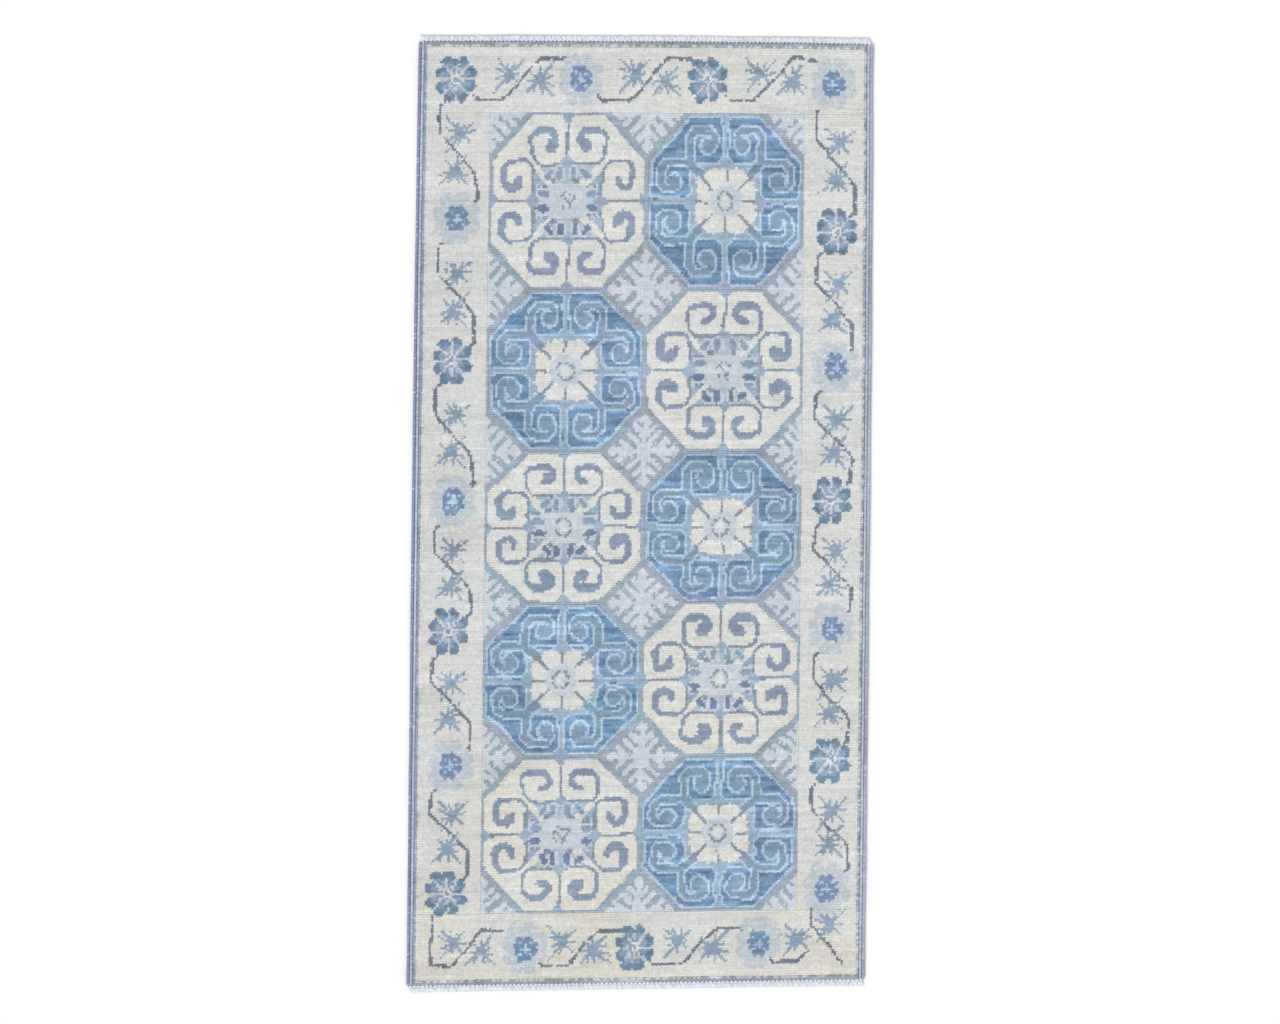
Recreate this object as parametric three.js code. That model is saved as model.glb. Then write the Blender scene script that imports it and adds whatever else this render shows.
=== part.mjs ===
// Hand-knotted wool runner rug, lying flat on the floor.
//
// Frame: +X across the rug, +Y along it, +Z up, millimetres. The origin is at the
// centre of the rug's bounding box, on the floor. "Top" is the +Y end, and "left" is
// the -X side.
//
// Build-up, from the floor: a woven cotton foundation, the wool pile that is knotted
// into it area by area, two wrapped warp bundles along each side, and at each end a
// flat-woven web, a row of locking stitches and the trimmed warp ends.

import * as THREE from 'three';

// ---------------------------------------------------------------- driving dimensions

// The whole rug, before its hand-made lean
const rugWidth = 816;
const rugLength = 1700;

// Heights
const foundationThickness = 2.4;
const pileHeight = 6.3;

// Clearance between pieces that touch
const touchGap = 0.3;

// Side bindings: two warp bundles a side, each wrapped in wool
const cordDiameter = 5.6;
const coreDiameter = 2.8;

// Ends: web, locking stitches and trimmed warp ends
const webLength = 5;
const endInset = 3;
const stitchWidth = 2.4;
const stitchHeight = 1.5;
const warpEndLength = 8;
const warpEndThickness = 1.4;
const warpTuftPitch = 12;
const warpTuftGap = 1.5;
const warpTuftRoot = 1.5;
const warpSlant = 3;

// Pile areas
const endGuardLength = 8;
const sideGuardWidth = 4;
const leftBorderWidth = 115;
const rightBorderWidth = 107;
const topBorderLength = 117;
const bottomBorderLength = 117;
const groundLine = 4;

// Medallions: two columns, and rows from the top end to the bottom end that share the
// field's length in these proportions
const medallionSides = ['left', 'right'];
const medallionRowWeights = [75.5, 69.2, 64.6, 65.8, 66.3];
const medallionCutWidth = 72;
const medallionCutLength = 78;

// Out-of-square of hand weaving
const sideLean = 9.5;
const topNarrowing = 3.5;
const topEdgeDrop = 6;
const bottomEdgeRise = 6;

// Fineness of the solids
const edgeStep = 220;
const cordStep = 70;
const cordSides = 12;
const coreSides = 8;

// ---------------------------------------------------------------- derived places

const halfWidth = rugWidth / 2;
const halfLength = rugLength / 2;
const bindingWidth = 2 * (cordDiameter + touchGap);
const endStripLength = webLength + warpEndLength + 2 * touchGap;
const pileHalfWidth = halfWidth - bindingWidth;
const pileHalfLength = halfLength - endStripLength;
const pileFoot = foundationThickness + touchGap;
const pileTop = pileFoot + pileHeight;

const guardInnerX = pileHalfWidth - sideGuardWidth;
const guardInnerY = pileHalfLength - endGuardLength;
const field = {
  left: -guardInnerX + leftBorderWidth,
  right: guardInnerX - rightBorderWidth,
  bottom: -guardInnerY + bottomBorderLength,
  top: guardInnerY - topBorderLength,
};

// ---------------------------------------------------------------- materials

const woolRoughness = 0.95;
const wrappingRoughness = 0.88;
const cottonRoughness = 0.9;

const yarn = (colour, roughness) =>
  new THREE.MeshStandardMaterial({ color: colour, roughness, metalness: 0 });

const foundationCotton = () => yarn('#cfcabd', cottonRoughness);
const borderWool = () => yarn('#e3e0d6', woolRoughness);
const groundWool = () => yarn('#a9bacb', woolRoughness);
const ivoryWool = () => yarn('#e4e3de', woolRoughness);
const blueWool = () => yarn('#5b86ad', woolRoughness);
const guardWool = () => yarn('#8d9aa3', woolRoughness);
const outerCordWool = () => yarn('#8c93b2', wrappingRoughness);
const innerCordWool = () => yarn('#aab9c8', wrappingRoughness);
const coreCotton = () => yarn('#d8d4c8', cottonRoughness);
const webCotton = () => yarn('#dcdcea', cottonRoughness);
const stitchCotton = () => yarn('#e9e9f2', cottonRoughness);

// ---------------------------------------------------------------- shape helpers

// Where a point of the straight, nominal rug lies in the hand-made one. Both sides lean
// by sideLean over half the length, the top half narrows, the top edge drops towards
// its right corner and the bottom edge rises from left to right.
function wovenPlace(x, y) {
  const across = x / halfWidth;
  const along = y / halfLength;
  const narrowing = topNarrowing * across * Math.max(0, along) ** 2;
  const drop = (topEdgeDrop * ((1 + across) / 2) ** 3 * (1 + along)) / 2;
  const rise = (bottomEdgeRise * across * (1 - along)) / 2;
  return new THREE.Vector2(x + sideLean * along - narrowing, y - drop + rise);
}

// The closed outline through nominal corners, with each edge divided so that it follows
// the hand-made shape.
function wovenOutline(corners) {
  const points = [];
  corners.forEach((corner, index) => {
    const next = corners[(index + 1) % corners.length];
    const steps = Math.max(1, Math.ceil(corner.distanceTo(next) / edgeStep));
    for (let step = 0; step < steps; step += 1) {
      const point = corner.clone().lerp(next, step / steps);
      points.push(wovenPlace(point.x, point.y));
    }
  });
  return points;
}

// Corners of a nominal rectangle, anticlockwise.
function rectangle(left, right, bottom, top) {
  return [
    new THREE.Vector2(left, bottom),
    new THREE.Vector2(right, bottom),
    new THREE.Vector2(right, top),
    new THREE.Vector2(left, top),
  ];
}

// Corners of a rectangle whose corners are cut off by cutX along X and cutY along Y.
function cutRectangle(left, right, bottom, top, cutX, cutY) {
  return [
    new THREE.Vector2(left + cutX, bottom),
    new THREE.Vector2(right - cutX, bottom),
    new THREE.Vector2(right, bottom + cutY),
    new THREE.Vector2(right, top - cutY),
    new THREE.Vector2(right - cutX, top),
    new THREE.Vector2(left + cutX, top),
    new THREE.Vector2(left, top - cutY),
    new THREE.Vector2(left, bottom + cutY),
  ];
}

// A flat layer with the given nominal outline and holes, between two heights.
function layer(name, material, low, high, corners, holes = []) {
  const shape = new THREE.Shape(wovenOutline(corners));
  shape.holes = holes.map((hole) => new THREE.Path(wovenOutline(hole)));
  const geometry = new THREE.ExtrudeGeometry(shape, { depth: high - low, bevelEnabled: false });
  const mesh = new THREE.Mesh(geometry, material);
  mesh.name = name;
  mesh.position.z = low;
  return mesh;
}

// A regular polygon inside a circle.
function roundPoints(diameter, sides) {
  const points = [];
  for (let side = 0; side < sides; side += 1) {
    const angle = (2 * Math.PI * side) / sides;
    points.push(new THREE.Vector2(Math.cos(angle), Math.sin(angle)).multiplyScalar(diameter / 2));
  }
  return points;
}

// A round cord along the rug's side at nominal x, with an optional bore.
function sideCord(name, material, x, diameter, sides, bore = 0) {
  const steps = Math.ceil((2 * pileHalfLength) / cordStep);
  const path = [];
  for (let step = 0; step <= steps; step += 1) {
    const y = -pileHalfLength + (2 * pileHalfLength * step) / steps;
    const place = wovenPlace(x, y);
    path.push(new THREE.Vector3(place.x, place.y, cordDiameter / 2));
  }
  const section = new THREE.Shape(roundPoints(diameter, sides));
  if (bore > 0) {
    section.holes = [new THREE.Path(roundPoints(bore, coreSides))];
  }
  const route = new THREE.CatmullRomCurve3(path);
  const geometry = new THREE.ExtrudeGeometry(section, { steps, extrudePath: route });
  const mesh = new THREE.Mesh(geometry, material);
  mesh.name = name;
  return mesh;
}

// ---------------------------------------------------------------- the rug

const rug = new THREE.Group();
rug.name = 'runner_rug';

// Foundation: the plain-woven cotton sheet of warps and wefts that everything is tied to
rug.add(layer('foundation_weave', foundationCotton(), 0, foundationThickness,
  rectangle(-pileHalfWidth, pileHalfWidth, -pileHalfLength, pileHalfLength)));

// Pile: one layer for each area of knots
function pile(name, material, corners, holes) {
  rug.add(layer(name, material, pileFoot, pileTop, corners, holes));
}

// Guard rows across the ends, and guard columns between them
pile('end_guard_pile_top', guardWool(),
  rectangle(-pileHalfWidth, pileHalfWidth, guardInnerY + touchGap, pileHalfLength));
pile('end_guard_pile_bottom', guardWool(),
  rectangle(-pileHalfWidth, pileHalfWidth, -pileHalfLength, -guardInnerY - touchGap));
pile('side_guard_pile_left', guardWool(),
  rectangle(-pileHalfWidth, -guardInnerX - touchGap, -guardInnerY, guardInnerY));
pile('side_guard_pile_right', guardWool(),
  rectangle(guardInnerX + touchGap, pileHalfWidth, -guardInnerY, guardInnerY));

// Borders: the end borders run the full width, and the side borders lie between them
pile('border_pile_top', borderWool(),
  rectangle(-guardInnerX, guardInnerX, field.top + touchGap, guardInnerY));
pile('border_pile_bottom', borderWool(),
  rectangle(-guardInnerX, guardInnerX, -guardInnerY, field.bottom - touchGap));
pile('border_pile_left', borderWool(),
  rectangle(-guardInnerX, field.left - touchGap, field.bottom, field.top));
pile('border_pile_right', borderWool(),
  rectangle(field.right + touchGap, guardInnerX, field.bottom, field.top));

// Field: medallions set in a ground that runs between and around them
const columnWidth = (field.right - field.left) / medallionSides.length;
const weightSum = medallionRowWeights.reduce((sum, weight) => sum + weight, 0);
const lengthPerWeight = (field.top - field.bottom) / weightSum;
const groundHoles = [];
let rowTop = field.top;
medallionRowWeights.forEach((weight, row) => {
  const rowBottom = rowTop - weight * lengthPerWeight;
  medallionSides.forEach((side, column) => {
    const left = field.left + column * columnWidth;
    // The medallion's outline, inset from its cell
    const outline = (inset) => cutRectangle(
      left + inset, left + columnWidth - inset, rowBottom + inset, rowTop - inset,
      medallionCutWidth, medallionCutLength,
    );
    groundHoles.push(outline(groundLine / 2));
    const isIvory = (row + column) % 2 === 0;
    pile(`medallion_pile_${side}_${row + 1}`, isIvory ? ivoryWool() : blueWool(),
      outline(groundLine / 2 + touchGap));
  });
  rowTop = rowBottom;
});
pile('field_ground_pile', groundWool(),
  rectangle(field.left, field.right, field.bottom, field.top), groundHoles);

// Side bindings: on each side an inner and an outer warp bundle in its wool wrapping
const innerCordX = pileHalfWidth + touchGap + cordDiameter / 2;
const outerCordX = innerCordX + touchGap + cordDiameter;
const boreDiameter = coreDiameter + 2 * touchGap;
for (const [side, direction] of [['left', -1], ['right', 1]]) {
  for (const [place, x, wrapWool] of [
    ['inner', innerCordX, innerCordWool],
    ['outer', outerCordX, outerCordWool],
  ]) {
    rug.add(sideCord(`selvedge_wrap_${side}_${place}`, wrapWool(), direction * x,
      cordDiameter, cordSides, boreDiameter));
    rug.add(sideCord(`selvedge_core_${side}_${place}`, coreCotton(), direction * x,
      coreDiameter, coreSides));
  }
}

// Ends: each is made for the +Y end, and mirrored by direction for the -Y end
const endHalfWidth = halfWidth - endInset;
const webFoot = pileHalfLength + touchGap;
const warpFoot = webFoot + webLength + touchGap;

// Corners of one end's row of slanted warp ends, joined along their foot.
function warpEndCorners(direction) {
  const tufts = Math.floor((2 * endHalfWidth - warpSlant) / warpTuftPitch);
  const start = -(tufts * warpTuftPitch + warpSlant) / 2;
  const foot = direction * warpFoot;
  const root = direction * (warpFoot + warpTuftRoot);
  const tip = direction * (warpFoot + warpEndLength);
  const corners = [new THREE.Vector2(start, foot)];
  for (let tuft = 0; tuft < tufts; tuft += 1) {
    const left = start + tuft * warpTuftPitch;
    const right = left + warpTuftPitch - warpTuftGap;
    corners.push(
      new THREE.Vector2(left, root),
      new THREE.Vector2(left + warpSlant, tip),
      new THREE.Vector2(right + warpSlant, tip),
      new THREE.Vector2(right, root),
    );
  }
  corners.push(new THREE.Vector2(start + tufts * warpTuftPitch - warpTuftGap, foot));
  return corners;
}

for (const [end, direction] of [['top', 1], ['bottom', -1]]) {
  const band = (from, length, halfSpan) => {
    const edges = [direction * from, direction * (from + length)].sort((a, b) => a - b);
    return rectangle(-halfSpan, halfSpan, edges[0], edges[1]);
  };
  rug.add(layer(`end_web_${end}`, webCotton(), 0, foundationThickness,
    band(webFoot, webLength, endHalfWidth)));
  rug.add(layer(`lock_stitch_row_${end}`, stitchCotton(), pileFoot, pileFoot + stitchHeight,
    band(webFoot, stitchWidth, endHalfWidth)));
  rug.add(layer(`warp_ends_${end}`, webCotton(), 0, warpEndThickness, warpEndCorners(direction)));
}

// Put the origin at the centre of the footprint, on the floor
const box = new THREE.Box3().setFromObject(rug);
const middle = box.getCenter(new THREE.Vector3());
rug.position.set(-middle.x, -middle.y, -box.min.z);

export default rug;
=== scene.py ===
# Hand-knotted wool runner rug: knotted pile, wrapped side cords and cotton ends
import math
import bpy
import numpy as np
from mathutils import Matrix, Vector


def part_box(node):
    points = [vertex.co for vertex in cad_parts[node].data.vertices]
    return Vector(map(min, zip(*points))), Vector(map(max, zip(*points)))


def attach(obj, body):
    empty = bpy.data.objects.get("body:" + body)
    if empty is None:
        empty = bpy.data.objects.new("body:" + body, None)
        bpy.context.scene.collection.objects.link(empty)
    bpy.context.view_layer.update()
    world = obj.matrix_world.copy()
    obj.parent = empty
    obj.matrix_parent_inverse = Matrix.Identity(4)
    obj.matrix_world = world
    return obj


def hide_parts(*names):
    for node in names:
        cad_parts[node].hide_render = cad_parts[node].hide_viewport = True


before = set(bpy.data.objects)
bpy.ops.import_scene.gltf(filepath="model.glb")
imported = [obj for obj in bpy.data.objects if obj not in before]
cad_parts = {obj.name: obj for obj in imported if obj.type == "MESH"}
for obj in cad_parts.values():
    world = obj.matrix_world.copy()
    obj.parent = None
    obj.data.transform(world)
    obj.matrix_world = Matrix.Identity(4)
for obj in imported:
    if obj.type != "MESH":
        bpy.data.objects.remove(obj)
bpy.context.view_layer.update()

print("frame loaded")

# the woven cloth, in metres: the same lean, narrowing and end slopes as the frame
cloth = dict(width=0.816, length=1.700, cord=0.0056, core=0.0028, gap=0.0003,
             webLength=0.005, warpEndLength=0.008, endInset=0.003,
             foundation=0.0024, pile=0.0063,
             lean=0.0095, narrowing=0.0035, topDrop=0.006, bottomRise=0.006)
cloth["halfWidth"] = cloth["width"] / 2
cloth["halfLength"] = cloth["length"] / 2
cloth["pileHalfWidth"] = cloth["halfWidth"] - 2 * (cloth["cord"] + cloth["gap"])
cloth["pileHalfLength"] = (cloth["halfLength"] - cloth["webLength"]
                           - cloth["warpEndLength"] - 2 * cloth["gap"])
cloth["pileFoot"] = cloth["foundation"] + cloth["gap"]
cloth["pileTop"] = cloth["pileFoot"] + cloth["pile"]

# how the cloth lies: long low waves that fade towards the middle, and eased corners
lie = dict(edgeWave=0.0011, waveLength=0.31, fade=0.085, cornerLift=0.0016, cornerSize=0.11)


# place on the hand-made rug of a point of the straight one: x leans with y and narrows
# in the top half, y drops at the top right and rises at the bottom right
def wovenPlace(x, y):
    across, along = x / cloth["halfWidth"], y / cloth["halfLength"]
    narrowing = cloth["narrowing"] * across * np.maximum(0, along) ** 2
    drop = cloth["topDrop"] * ((1 + across) / 2) ** 3 * (1 + along) / 2
    rise = cloth["bottomRise"] * across * (1 - along) / 2
    return x + cloth["lean"] * along - narrowing, y - drop + rise


# how far the frame's middle lies from the straight rug's middle
def frameShift():
    w, l = cloth["pileHalfWidth"], cloth["pileHalfLength"]
    x, y = wovenPlace(np.array([-w, w, w, -w]), np.array([-l, -l, l, l]))
    low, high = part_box("foundation_weave")
    return (low[0] + high[0] - x.min() - x.max()) / 2, (low[1] + high[1] - y.min() - y.max()) / 2


shiftX, shiftY = frameShift()


# height that the whole cloth stands off the floor: sine waves along the edges that fade
# exponentially inwards, plus a quarter-round lift at two corners
def floorLift(x, y):
    sideRoom = np.maximum(cloth["halfWidth"] - np.abs(x), 0)
    endRoom = np.maximum(cloth["halfLength"] - np.abs(y), 0)
    sideWave = 0.5 + 0.5 * np.sin(2 * math.pi * y / lie["waveLength"] + 1.3 * np.sign(x))
    endWave = 0.5 + 0.5 * np.sin(2 * math.pi * x / (0.8 * lie["waveLength"]) + np.sign(y))
    lift = lie["edgeWave"] * (sideWave * np.exp(-sideRoom / lie["fade"])
                              + endWave * np.exp(-endRoom / lie["fade"]))
    for sx, sy in ((-1, -1), (1, 1)):
        reach = np.hypot(cloth["halfWidth"] - sx * x, cloth["halfLength"] - sy * y)
        lift = lift + lie["cornerLift"] * np.maximum(0, 1 - reach / lie["cornerSize"]) ** 2
    return lift


# finished place of nominal points: woven place, shift and floor lift
def settle(x, y, z):
    px, py = wovenPlace(x, y)
    return np.stack([px + shiftX, py + shiftY, z + floorLift(x, y)], axis=-1)


# colours as they look in plain light, red green blue from 0 to 255
yarns = dict(
    ivory=(223, 224, 223),
    warmIvory=(226, 221, 208),
    fieldIvory=(227, 228, 226),
    squarePale=(207, 215, 224),
    mistPale=(205, 214, 222),
    mistBlue=(180, 195, 207),
    groundBlue=(163, 183, 202),
    scrollBlue=(146, 160, 180),
    ribbonBlue=(139, 162, 184),
    deepBlue=(121, 152, 183),
    paleLine=(188, 208, 227),
    lineGrey=(146, 157, 170),
    vineSlate=(124, 133, 147),
    leafBlue=(154, 171, 190),
    petalBlue=(120, 146, 170),
    petalLight=(149, 169, 189),
    rosettePale=(201, 209, 217),
    coreBlue=(128, 153, 181),
    treePale=(213, 220, 229),
    treeBlue=(164, 179, 192),
    dropBlue=(120, 140, 165),
    guardGrey=(159, 166, 174),
    guardLight=(206, 210, 215),
    sideSlate=(158, 169, 187),
)
yarnNumber = {name: number for number, name in enumerate(yarns)}
lightGain = 1.11  # the stage light shows a surface this much brighter than its own colour


# display colour to linear surface colour: the sRGB curve undone, over the light's gain
def surfaceColour(rgb):
    c = np.asarray(rgb, float) / 255
    linear = np.where(c <= 0.04045, c / 12.92, ((c + 0.055) / 1.055) ** 2.4)
    return linear / lightGain


# The design is drawn on a grid of knots: x counts columns from the left side and y counts
# rows from the top end, so that a motif's points are in knots.
loom = dict(columns=200, rows=400, seed=7,
            guardRows=2, guardColumns=1,
            fieldLeft=30, fieldRight=172, fieldTop=30, fieldBottom=370,
            rowWeights=(75.5, 69.2, 64.6, 65.8, 66.3),
            cutAcross=18.6, cutAlong=19.2,
            wobble=0.5, wobbleSize=8)
draft = np.full((loom["rows"], loom["columns"]), yarnNumber["ivory"])
random = np.random.default_rng(loom["seed"])


# smooth noise: random numbers on a coarse grid, spread over a fine one by cubic weights
def smoothNoise(height, width, cellY, cellX, source):
    ny, nx = int(height / cellY) + 3, int(width / cellX) + 3
    coarse = source.standard_normal((ny, nx))
    y = np.arange(height) / cellY
    x = np.arange(width) / cellX
    iy, ix = y.astype(int), x.astype(int)
    fy, fx = y - iy, x - ix
    fy, fx = (fy * fy * (3 - 2 * fy))[:, None], (fx * fx * (3 - 2 * fx))[None, :]
    a, b = coarse[iy][:, ix], coarse[iy][:, ix + 1]
    c, d = coarse[iy + 1][:, ix], coarse[iy + 1][:, ix + 1]
    return (a * (1 - fx) + b * fx) * (1 - fy) + (c * (1 - fx) + d * fx) * fy


# centres of the knots, moved a little so that drawn lines wander as tied ones do
knotX = (np.arange(loom["columns"]) + 0.5)[None, :] + loom["wobble"] * smoothNoise(
    loom["rows"], loom["columns"], loom["wobbleSize"], loom["wobbleSize"], random)
knotY = (np.arange(loom["rows"]) + 0.5)[:, None] + 0.6 * loom["wobble"] * smoothNoise(
    loom["rows"], loom["columns"], loom["wobbleSize"], loom["wobbleSize"], random)
missed = random.random(draft.shape)  # knots that a weaver skips in thin lines


# the part of the loom that a motif can reach, as slices
def windowOf(points, margin):
    low = np.floor(points.min(0) - margin - 2).astype(int)
    high = np.ceil(points.max(0) + margin + 2).astype(int)
    return (slice(max(low[1], 0), min(high[1], loom["rows"])),
            slice(max(low[0], 0), min(high[0], loom["columns"])))


# a line of knots: every knot nearer to a segment than half the width there; skip is the
# share of its knots left out
def strokeKnots(points, widths, yarn, skip=0.0):
    points = np.asarray(points, float)
    widths = np.broadcast_to(np.asarray(widths, float), len(points))
    win = windowOf(points, widths.max())
    x, y = knotX[win], knotY[win]
    hit = np.zeros(x.shape, bool)
    for a, b, wa, wb in zip(points[:-1], points[1:], widths[:-1], widths[1:]):
        run = b - a
        t = ((x - a[0]) * run[0] + (y - a[1]) * run[1]) / max(run @ run, 1e-9)
        t = np.clip(t, 0, 1)
        reach = np.hypot(x - a[0] - t * run[0], y - a[1] - t * run[1])
        hit |= reach < (wa + (wb - wa) * t) / 2
    draft[win][hit & (missed[win] >= skip)] = yarnNumber[yarn]


# a filled outline: knots with an odd number of outline crossings to their right
def fillKnots(points, yarn):
    points = np.asarray(points, float)
    win = windowOf(points, 0)
    x, y = knotX[win], knotY[win]
    inside = np.zeros(x.shape, bool)
    for a, b in zip(points, np.roll(points, -1, axis=0)):
        if a[1] == b[1]:
            continue
        crosses = (a[1] > y) != (b[1] > y)
        inside ^= crosses & (x < a[0] + (y - a[1]) * (b[0] - a[0]) / (b[1] - a[1]))
    draft[win][inside] = yarnNumber[yarn]


# a round patch of knots: inside an ellipse of the given half sizes
def dotKnots(centre, halfX, halfY, yarn, skip=0.0):
    corners = np.array([[centre[0] - halfX, centre[1] - halfY],
                        [centre[0] + halfX, centre[1] + halfY]])
    win = windowOf(corners, 0)
    reach = ((knotX[win] - centre[0]) / halfX) ** 2 + ((knotY[win] - centre[1]) / halfY) ** 2
    draft[win][(reach < 1) & (missed[win] >= skip)] = yarnNumber[yarn]


# moves a motif's own points to their place: swap turns x and y over, flips mirror,
# stretch fits them to a cell
def placed(points, centre, flipX=1, flipY=1, swap=False, stretchX=1.0, stretchY=1.0):
    points = np.atleast_2d(np.asarray(points, float))
    if swap:
        points = points[:, ::-1]
    return points * (flipX * stretchX, flipY * stretchY) + centre


# octagon of half size w by h, its corners cut by cutX and cutY
def octagon(w, h, cutX, cutY):
    return np.array([(-w + cutX, -h), (w - cutX, -h), (w, -h + cutY), (w, h - cutY),
                     (w - cutX, h), (-w + cutX, h), (-w, h - cutY), (-w, -h + cutY)])


# the eight places of a scroll in a medallion, and the four sides and four quarters
scrollPlaces = [(fx, fy, swap) for swap in (False, True) for fx in (1, -1) for fy in (1, -1)]
sidePlaces = [(1, 1, False), (1, -1, False), (1, 1, True), (-1, 1, True)]
quarters = [(1, 1), (-1, 1), (1, -1), (-1, -1)]

# motif points are in knots from the medallion's middle, drawn for the half size below;
# the scroll is the left one at the top end, and is mirrored and turned for the others
medallion = dict(
    halfWidth=35.5, halfLength=36.5,
    spiral=[(-12.6, -15.5), (-14.4, -16.3), (-15.8, -17.8), (-16.7, -19.6), (-16.7, -26.2),
            (-15.2, -28.2), (-13.0, -29.2), (-7.6, -29.0), (-5.6, -27.2), (-5.2, -24.6),
            (-7.0, -22.4), (-9.4, -22.0)],
    spiralWidths=[1.2, 1.3, 1.4, 1.5, 1.8, 2.3, 3.1, 3.1, 3.0, 3.0, 3.3, 2.6],
    ribbon=[(-10.2, -9.6), (-16.2, -15.8), (-16.2, -26.4), (-13.6, -29.3), (-7.4, -29.3),
            (-5.4, -27.0), (-5.7, -23.6)],
    ribbonEnd=(-8.2, -23.4),
    seam=[(0, -33.0), (0, -18.5)],
    wedge=[(-3.8, -38.0), (3.8, -38.0), (0, -32.2)],
    mate=[(0, -19.2), (3.3, -15.6), (0, -12.4), (-3.3, -15.6)],
    ivoryCorner=[(-17.0, -17.0), (-12.6, -12.6), (-7.0, -7.2)],
    cornerWidth=(2.2, 3.2, 3.6),
    squareHalf=(8.2, 7.2),
    leaves=[((-3.2, -13.2), (-3.3, -10.0)), ((3.2, -13.2), (3.4, -10.0)),
            ((-7.0, -12.8), (-8.6, -10.6)), ((7.2, -12.8), (9.2, -10.8))],
    leafFeet=[(-6.2, -8.4), (4.2, -8.2)],
    sideDrops=[(-11.3, -3.0), (-11.4, 3.0)],
    ringedRows=(2, 3),
)


# an ivory medallion: ivory ground, eight grey-blue scrolls, and in the middle a pale
# square with a small lattice, between leafy ends and barred sides
def ivoryMedallion(centre, stretchY, slip, ringed):
    m = medallion
    put = lambda pts, fx=1, fy=1, swap=False: placed(pts, centre, fx, fy, swap, 1, stretchY)
    w, h = m["halfWidth"], m["halfLength"]
    fillKnots(put(octagon(w - 1.1, h - 1.0, loom["cutAcross"], loom["cutAlong"])), "fieldIvory")
    for fy in (1, -1):
        fillKnots(put([(-15.0, -15.2), (15.0, -15.2), (7.4, -6.8), (-7.4, -6.8)], 1, fy),
                  "mistBlue")
    for fx in (1, -1):
        fillKnots(put([(-16.0, -13.8), (-8.0, -6.2), (-8.0, 6.2), (-16.0, 13.8)], fx, 1),
                  "groundBlue")
        fillKnots(put([(-14.2, -7.4), (-8.0, -6.2), (-8.0, 6.2), (-14.2, 7.4)], fx, 1),
                  "mistPale")
    for fx, fy in quarters:
        strokeKnots(put(m["ivoryCorner"], fx, fy), m["cornerWidth"], "fieldIvory")
    for fx, fy, swap in scrollPlaces:
        wander = slip.uniform(-0.35, 0.35, (len(m["spiral"]), 2))
        wander[:3] = 0
        width = np.array(m["spiralWidths"]) * (1 + slip.uniform(-0.12, 0.18))
        strokeKnots(put(np.array(m["spiral"]) + wander, fx, fy, swap), width, "scrollBlue")
        if slip.random() < 0.55:
            dotKnots(put([(-8.2, -24.4)], fx, fy, swap)[0], 1.9, 1.7, "scrollBlue")
        strokeKnots(put([(-12.8, -15.5), (-2.0, -15.5)], fx, fy, swap), 1.15, "lineGrey")
    for fx, fy, swap in sidePlaces:
        strokeKnots(put(m["seam"], fx, fy, swap), 1.2, "lineGrey")
        fillKnots(put(m["wedge"], fx, fy, swap), "groundBlue")
        fillKnots(put(m["mate"], fx, fy, swap), "groundBlue")
    for fy in (1, -1):
        for a, b in m["leaves"]:
            strokeKnots(put([a, b], 1, fy), 3.9, "mistPale")
        strokeKnots(put([(-1.0, -14), (-1.0, -8.4)], 1, fy), 0.9, "mistPale")
        for a, b in m["leaves"]:
            strokeKnots(put([a, b], 1, fy), (2.3, 2.7), "dropBlue" if fy < 0 else "petalLight")
        for foot in m["leafFeet"]:
            dotKnots(put([foot], 1, fy)[0], 1.5, 1.1, "lineGrey")
    for fx in (1, -1):
        for p in m["sideDrops"]:
            dotKnots(put([p], fx, 1)[0], 2.8, 1.6, "dropBlue" if p[1] > 0 else "petalLight")
        for v in (-6.3, 6.2):
            strokeKnots(put([(-13.0, v), (-9.6, v)], fx, 1), 1.0, "lineGrey", 0.2)
    sx, sy = m["squareHalf"]
    fillKnots(put([(-sx, -sy), (sx, -sy), (sx, sy), (-sx, sy)]), "squarePale")
    if ringed:
        ringKnots(centre, 3.4, 3.9)
        return
    for a, b in (((-3.4, -1.2), (-1.0, -3.8)),
                   ((-1.6, -1.6), (2.2, 2.6)), ((0.4, -3.4), (3.6, -2.2)),
                 ((-2.6, 1.4), (-2.0, 2.8)), ((3.4, -1.4), (1.4, 0.8)), ((0.6, 1.4), (1.4, 4.0))):
        strokeKnots(put([a, b]), 0.95, "lineGrey", 0.1)


# a small ring of four arcs round a light middle
def ringKnots(centre, halfX, halfY):
    for turn in range(4):
        angles = math.pi / 2 * turn + np.radians([16, 45, 74])
        arc = np.stack([halfX * np.cos(angles), halfY * np.sin(angles)], axis=-1) + centre
        strokeKnots(arc, 1.15, "lineGrey")
    dotKnots(centre, 1.8, 2.2, "fieldIvory")


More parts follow.
